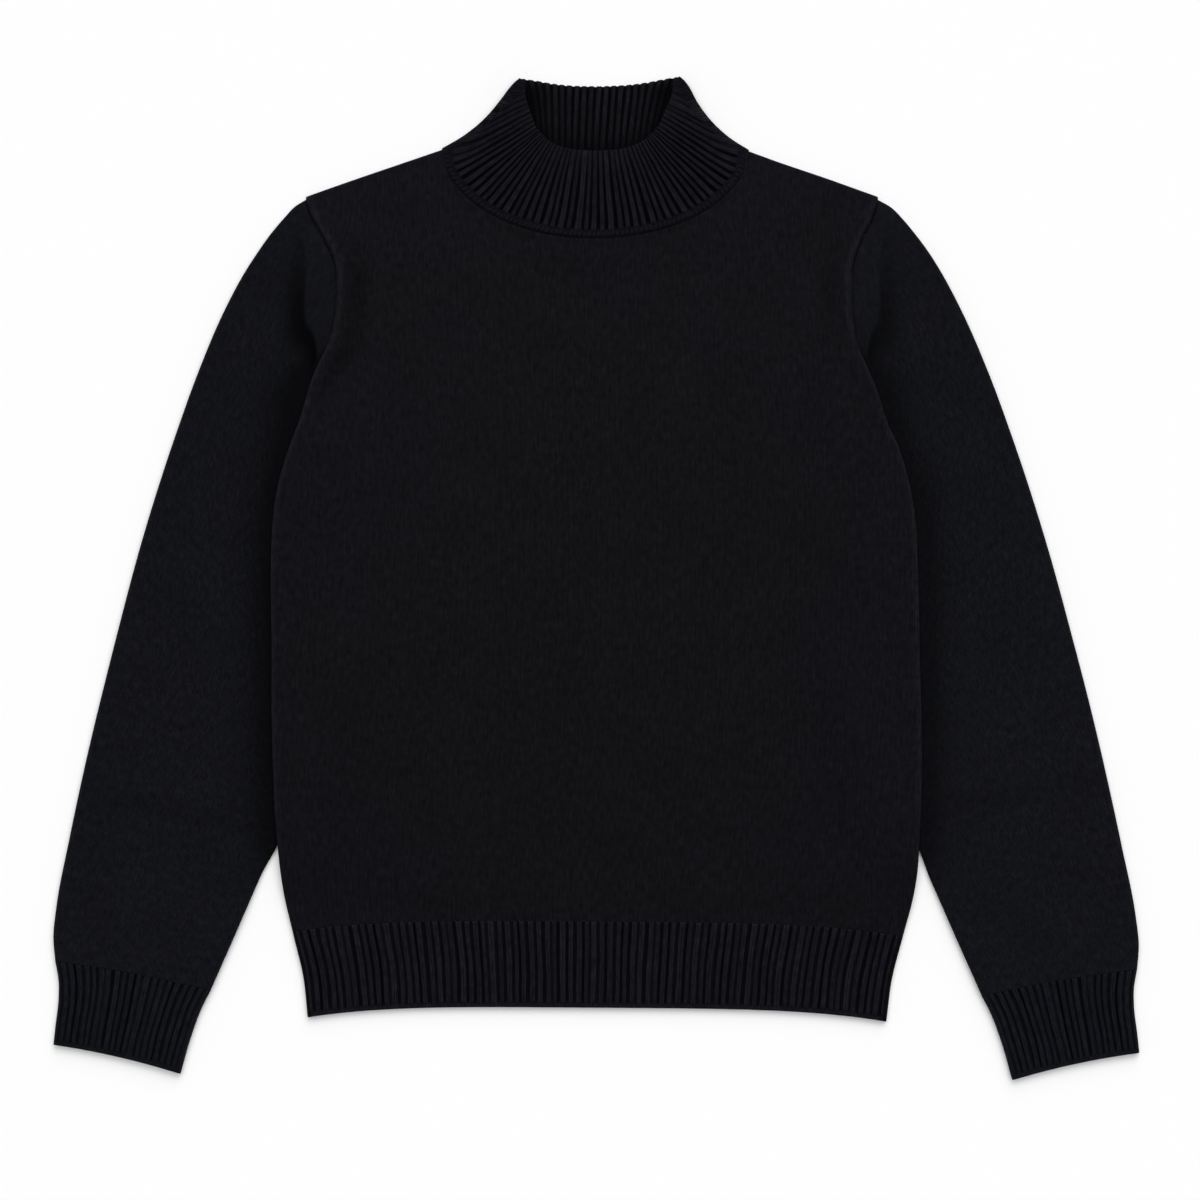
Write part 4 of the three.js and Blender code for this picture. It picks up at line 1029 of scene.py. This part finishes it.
def knit_material(name, wale, course, dyes, bump_depth):
    """Plain knit: V-shaped stitches in columns, twist, fuzz and a dye between two shades."""
    material = bpy.data.materials.new(name)
    material.use_nodes = True
    tree = material.node_tree
    tree.nodes.clear()
    graph = Graph(tree)
    output = node(tree, "ShaderNodeOutputMaterial")
    shader = node(tree, "ShaderNodeBsdfPrincipled")
    tree.links.new(shader.outputs[0], output.inputs[0])
    cloth = node(tree, "ShaderNodeUVMap", uv_map="cloth").outputs[0]
    place = node(tree, "ShaderNodeTexCoord").outputs["Object"]

    # The stitch: u counts the wales and v the courses, and each leg of the V climbs to the side.
    split = node(tree, "ShaderNodeSeparateXYZ")
    tree.links.new(cloth, split.inputs[0])
    wobble = graph.spread(graph.noise(cloth, 260, 2), 0, 1, -0.22, 0.22)
    lean = graph.spread(graph.noise(place, 90, 1), 0, 1, -0.3, 0.3)
    u = graph.math("ADD", graph.math("DIVIDE", split.outputs["X"], wale * MM), wobble)
    v = graph.math("ADD", graph.math("DIVIDE", split.outputs["Y"], course * MM), lean)
    leg = graph.math("ABSOLUTE", graph.math("SUBTRACT", graph.math("FRACT", u), 0.5))
    climb = graph.math("SUBTRACT", v, graph.math("MULTIPLY", leg, 1.15))
    stitch = graph.math("SUBTRACT", graph.math("FRACT", climb), 0.5)
    loop = graph.wave(stitch, 1)
    column = graph.wave(graph.math("SUBTRACT", leg, 0.25), 2)
    height = graph.math("ADD", graph.math("MULTIPLY", loop, 0.25), graph.math("MULTIPLY", column, 0.75))
    fuzz = graph.noise(place, 1900, 3, 0.65)
    bump = node(tree, "ShaderNodeBump")
    bump.inputs["Strength"].default_value = 1.0
    bump.inputs["Distance"].default_value = bump_depth * MM
    rough = graph.math("ADD", height, graph.math("MULTIPLY", fuzz, 0.55))
    tree.links.new(rough, bump.inputs["Height"])
    tree.links.new(bump.outputs[0], shader.inputs["Normal"])

    # The tone: slow and quick unevenness, painted shade low in each stitch and between its columns, and
    # the painted light and shade that each piece carries on its folds, grooves and seams.
    painted_light = node(tree, "ShaderNodeAttribute", attribute_name="painted_light")
    tone = graph.times(
        graph.vary(graph.noise(place, 26, 3, 0.6), 0.08),
        graph.vary(graph.noise(cloth, 190, 2, 0.6), 0.24),
        # painted shade where the stitch lies low
        graph.spread(height, 0, 1, 0.4, 1.45),
        graph.vary(fuzz, 0.25),
        # painted shade towards the sides of each column
        graph.spread(leg, 0.28, 0.5, 1.14, 0.62),
        graph.vary(graph.noise(graph.scaled(cloth, 1.0, 0.2), 620, 2, 0.6), 0.33),
        # the painted light and shade carried by the mesh
        painted_light.outputs["Fac"],
    )

    # The dye: one shade in the middle of the garment and another towards its edges, in patches.
    shade = node(tree, "ShaderNodeMix", data_type="RGBA")
    for socket, dye in zip("AB", dyes):
        shade.inputs[socket].default_value = (*(PAINTED_LIGHT_TOP * part for part in dye), 1)
    from_middle = node(tree, "ShaderNodeVectorMath", operation="LENGTH")
    tree.links.new(graph.scaled(place, 5.0, 3.6), from_middle.inputs[0])
    ring = graph.spread(from_middle.outputs["Value"], 0.35, 1.1, -0.2, 0.8)
    patches = graph.spread(graph.noise(place, 7, 3, 0.6), 0.3, 0.7, -0.4, 0.6)
    tree.links.new(graph.math("ADD", ring, patches, clamp=True), shade.inputs["Factor"])
    blend = node(tree, "ShaderNodeMix", data_type="RGBA")
    blend.inputs["A"].default_value = (0, 0, 0, 1)
    tree.links.new(shade.outputs["Result"], blend.inputs["B"])
    tree.links.new(graph.math("DIVIDE", tone, PAINTED_LIGHT_TOP, clamp=True), blend.inputs["Factor"])
    tree.links.new(blend.outputs["Result"], shader.inputs["Base Color"])
    shader.inputs["Roughness"].default_value = 0.9
    shader.inputs["Specular IOR Level"].default_value = 0.05
    shader.inputs["Sheen Weight"].default_value = 0.012
    shader.inputs["Sheen Roughness"].default_value = 0.45
    shader.inputs["Sheen Tint"].default_value = (0.75, 0.8, 1.0, 1)
    return material


# Camera, floor and lights

PHOTO_WIDTH = 1200 * 0.72 * MM  # width of the photograph's frame at the garment
LENS = 100.0
SENSOR = 36.0
FLOOR_TONE = 0.971


def make_camera():
    data = bpy.data.cameras.new("camera")
    data.lens = LENS
    data.sensor_width = SENSOR
    data.clip_end = 40
    camera = add_object("camera", data)
    camera.location = (3.6 * MM, -16.6 * MM, PHOTO_WIDTH * LENS / SENSOR)
    bpy.context.scene.camera = camera


def make_floor():
    size = 12.0
    mesh = bpy.data.meshes.new("floor")
    corners = [(-size, -size, 0), (size, -size, 0), (size, size, 0), (-size, size, 0)]
    mesh.from_pydata(corners, [], [(0, 1, 2, 3)])
    material = bpy.data.materials.new("floor")
    material.use_nodes = True
    shader = material.node_tree.nodes["Principled BSDF"]
    shader.inputs["Base Color"].default_value = (FLOOR_TONE, FLOOR_TONE, FLOOR_TONE, 1)
    shader.inputs["Roughness"].default_value = 0.9
    shader.inputs["Specular IOR Level"].default_value = 0.0
    mesh.materials.append(material)
    floor = add_object("floor", mesh)
    floor.location = (0, 0, -0.0004)


def make_light(name, tilt, turn, softness, strength):
    """A wide soft light from far off, tilted from straight overhead, all in degrees."""
    data = bpy.data.lights.new(name, "SUN")
    data.angle = math.radians(softness)
    data.energy = strength
    lamp = add_object(name, data)
    lamp.rotation_euler = (math.radians(-tilt), 0, math.radians(turn))
    lamp.location = (0, 0, 2)


def make_lights():
    make_light("softbox", 16, -6, 75, 2.15)
    make_light("window", 50, -12, 50, 0.95)
    world = bpy.data.worlds.new("world")
    world.use_nodes = True
    background = world.node_tree.nodes["Background"]
    background.inputs["Color"].default_value = (1, 1, 1, 1)
    background.inputs["Strength"].default_value = 0.17
    bpy.context.scene.world = world
    bpy.context.scene.view_settings.view_transform = "Standard"


# The sweater

make_camera()
make_floor()
make_lights()

JERSEY_BUMP = 0.45  # depth of the stitches' bump
RIB_BUMP = 0.35
# Each pair of dyes: the middle of the garment, and its edges.
BODY_DYE = ((0.0064, 0.0065, 0.0077), (0.0068, 0.0063, 0.0089))
SLEEVE_DYE = ((0.0068, 0.0074, 0.0098), (0.0070, 0.0073, 0.0099))
RIB_DYE = ((0.0057, 0.0058, 0.0080), (0.0060, 0.0057, 0.0084))
CUFF_DYE = ((0.0053, 0.0059, 0.0083), (0.0054, 0.0059, 0.0084))
jersey = knit_material("jersey_knit", WALE, COURSE, BODY_DYE, JERSEY_BUMP)
sleeve_jersey = knit_material("sleeve_jersey_knit", WALE, COURSE, SLEEVE_DYE, JERSEY_BUMP)
rib_knit = knit_material("rib_knit", RIB_WALE, RIB_COURSE, RIB_DYE, RIB_BUMP)
cuff_knit = knit_material("cuff_knit", RIB_WALE, RIB_COURSE, CUFF_DYE, RIB_BUMP)

front = make_panel("front_panel_knit", 1, NECK["front_y"], (44, 34, 170), jersey)
back = make_panel("back_panel_knit", -1, NECK["back_y"], (16, 10, 60), jersey)
hem_front = make_hem("hem_rib_front_knit", 1, rib_knit)
hem_back = make_hem("hem_rib_back_knit", -1, rib_knit)
sleeve_left = make_sleeve("sleeve_left_knit", -1, SLEEVE_CREASES_LEFT, sleeve_jersey)
sleeve_right = make_sleeve("sleeve_right_knit", 1, SLEEVE_CREASES_RIGHT, sleeve_jersey)
cuff_left = make_cuff("cuff_left_knit", -1, cuff_knit)
cuff_right = make_cuff("cuff_right_knit", 1, cuff_knit)
collar = make_collar("collar_knit", rib_knit)
linking = make_stitches("collar_linking", linking_rows(), rib_knit, STITCH_SIZE)

# Each piece: the node that it stands for, its slot, and its cut as width, length and area.
SHEETS = (
    (front, "front_panel", "jersey", (0.468, 0.567), 0.236),
    (back, "back_panel", "jersey", (0.468, 0.567), 0.247),
    (hem_front, "hem_rib_front", "rib", (0.436, 0.062), 0.027),
    (hem_back, "hem_rib_back", "rib", (0.436, 0.062), 0.027),
    (sleeve_left, "sleeve_left", "jersey", (0.36, 0.60), 0.16),
    (sleeve_right, "sleeve_right", "jersey", (0.36, 0.60), 0.16),
    (cuff_left, "cuff_left", "rib", (0.22, 0.062), 0.0135),
    (cuff_right, "cuff_right", "rib", (0.22, 0.062), 0.0135),
    (collar, "collar", "rib", (0.50, 0.062), 0.027),
)
for piece, solid, slot, flat, area in SHEETS:
    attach(piece, "root")
    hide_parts(solid)
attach(linking, "root")
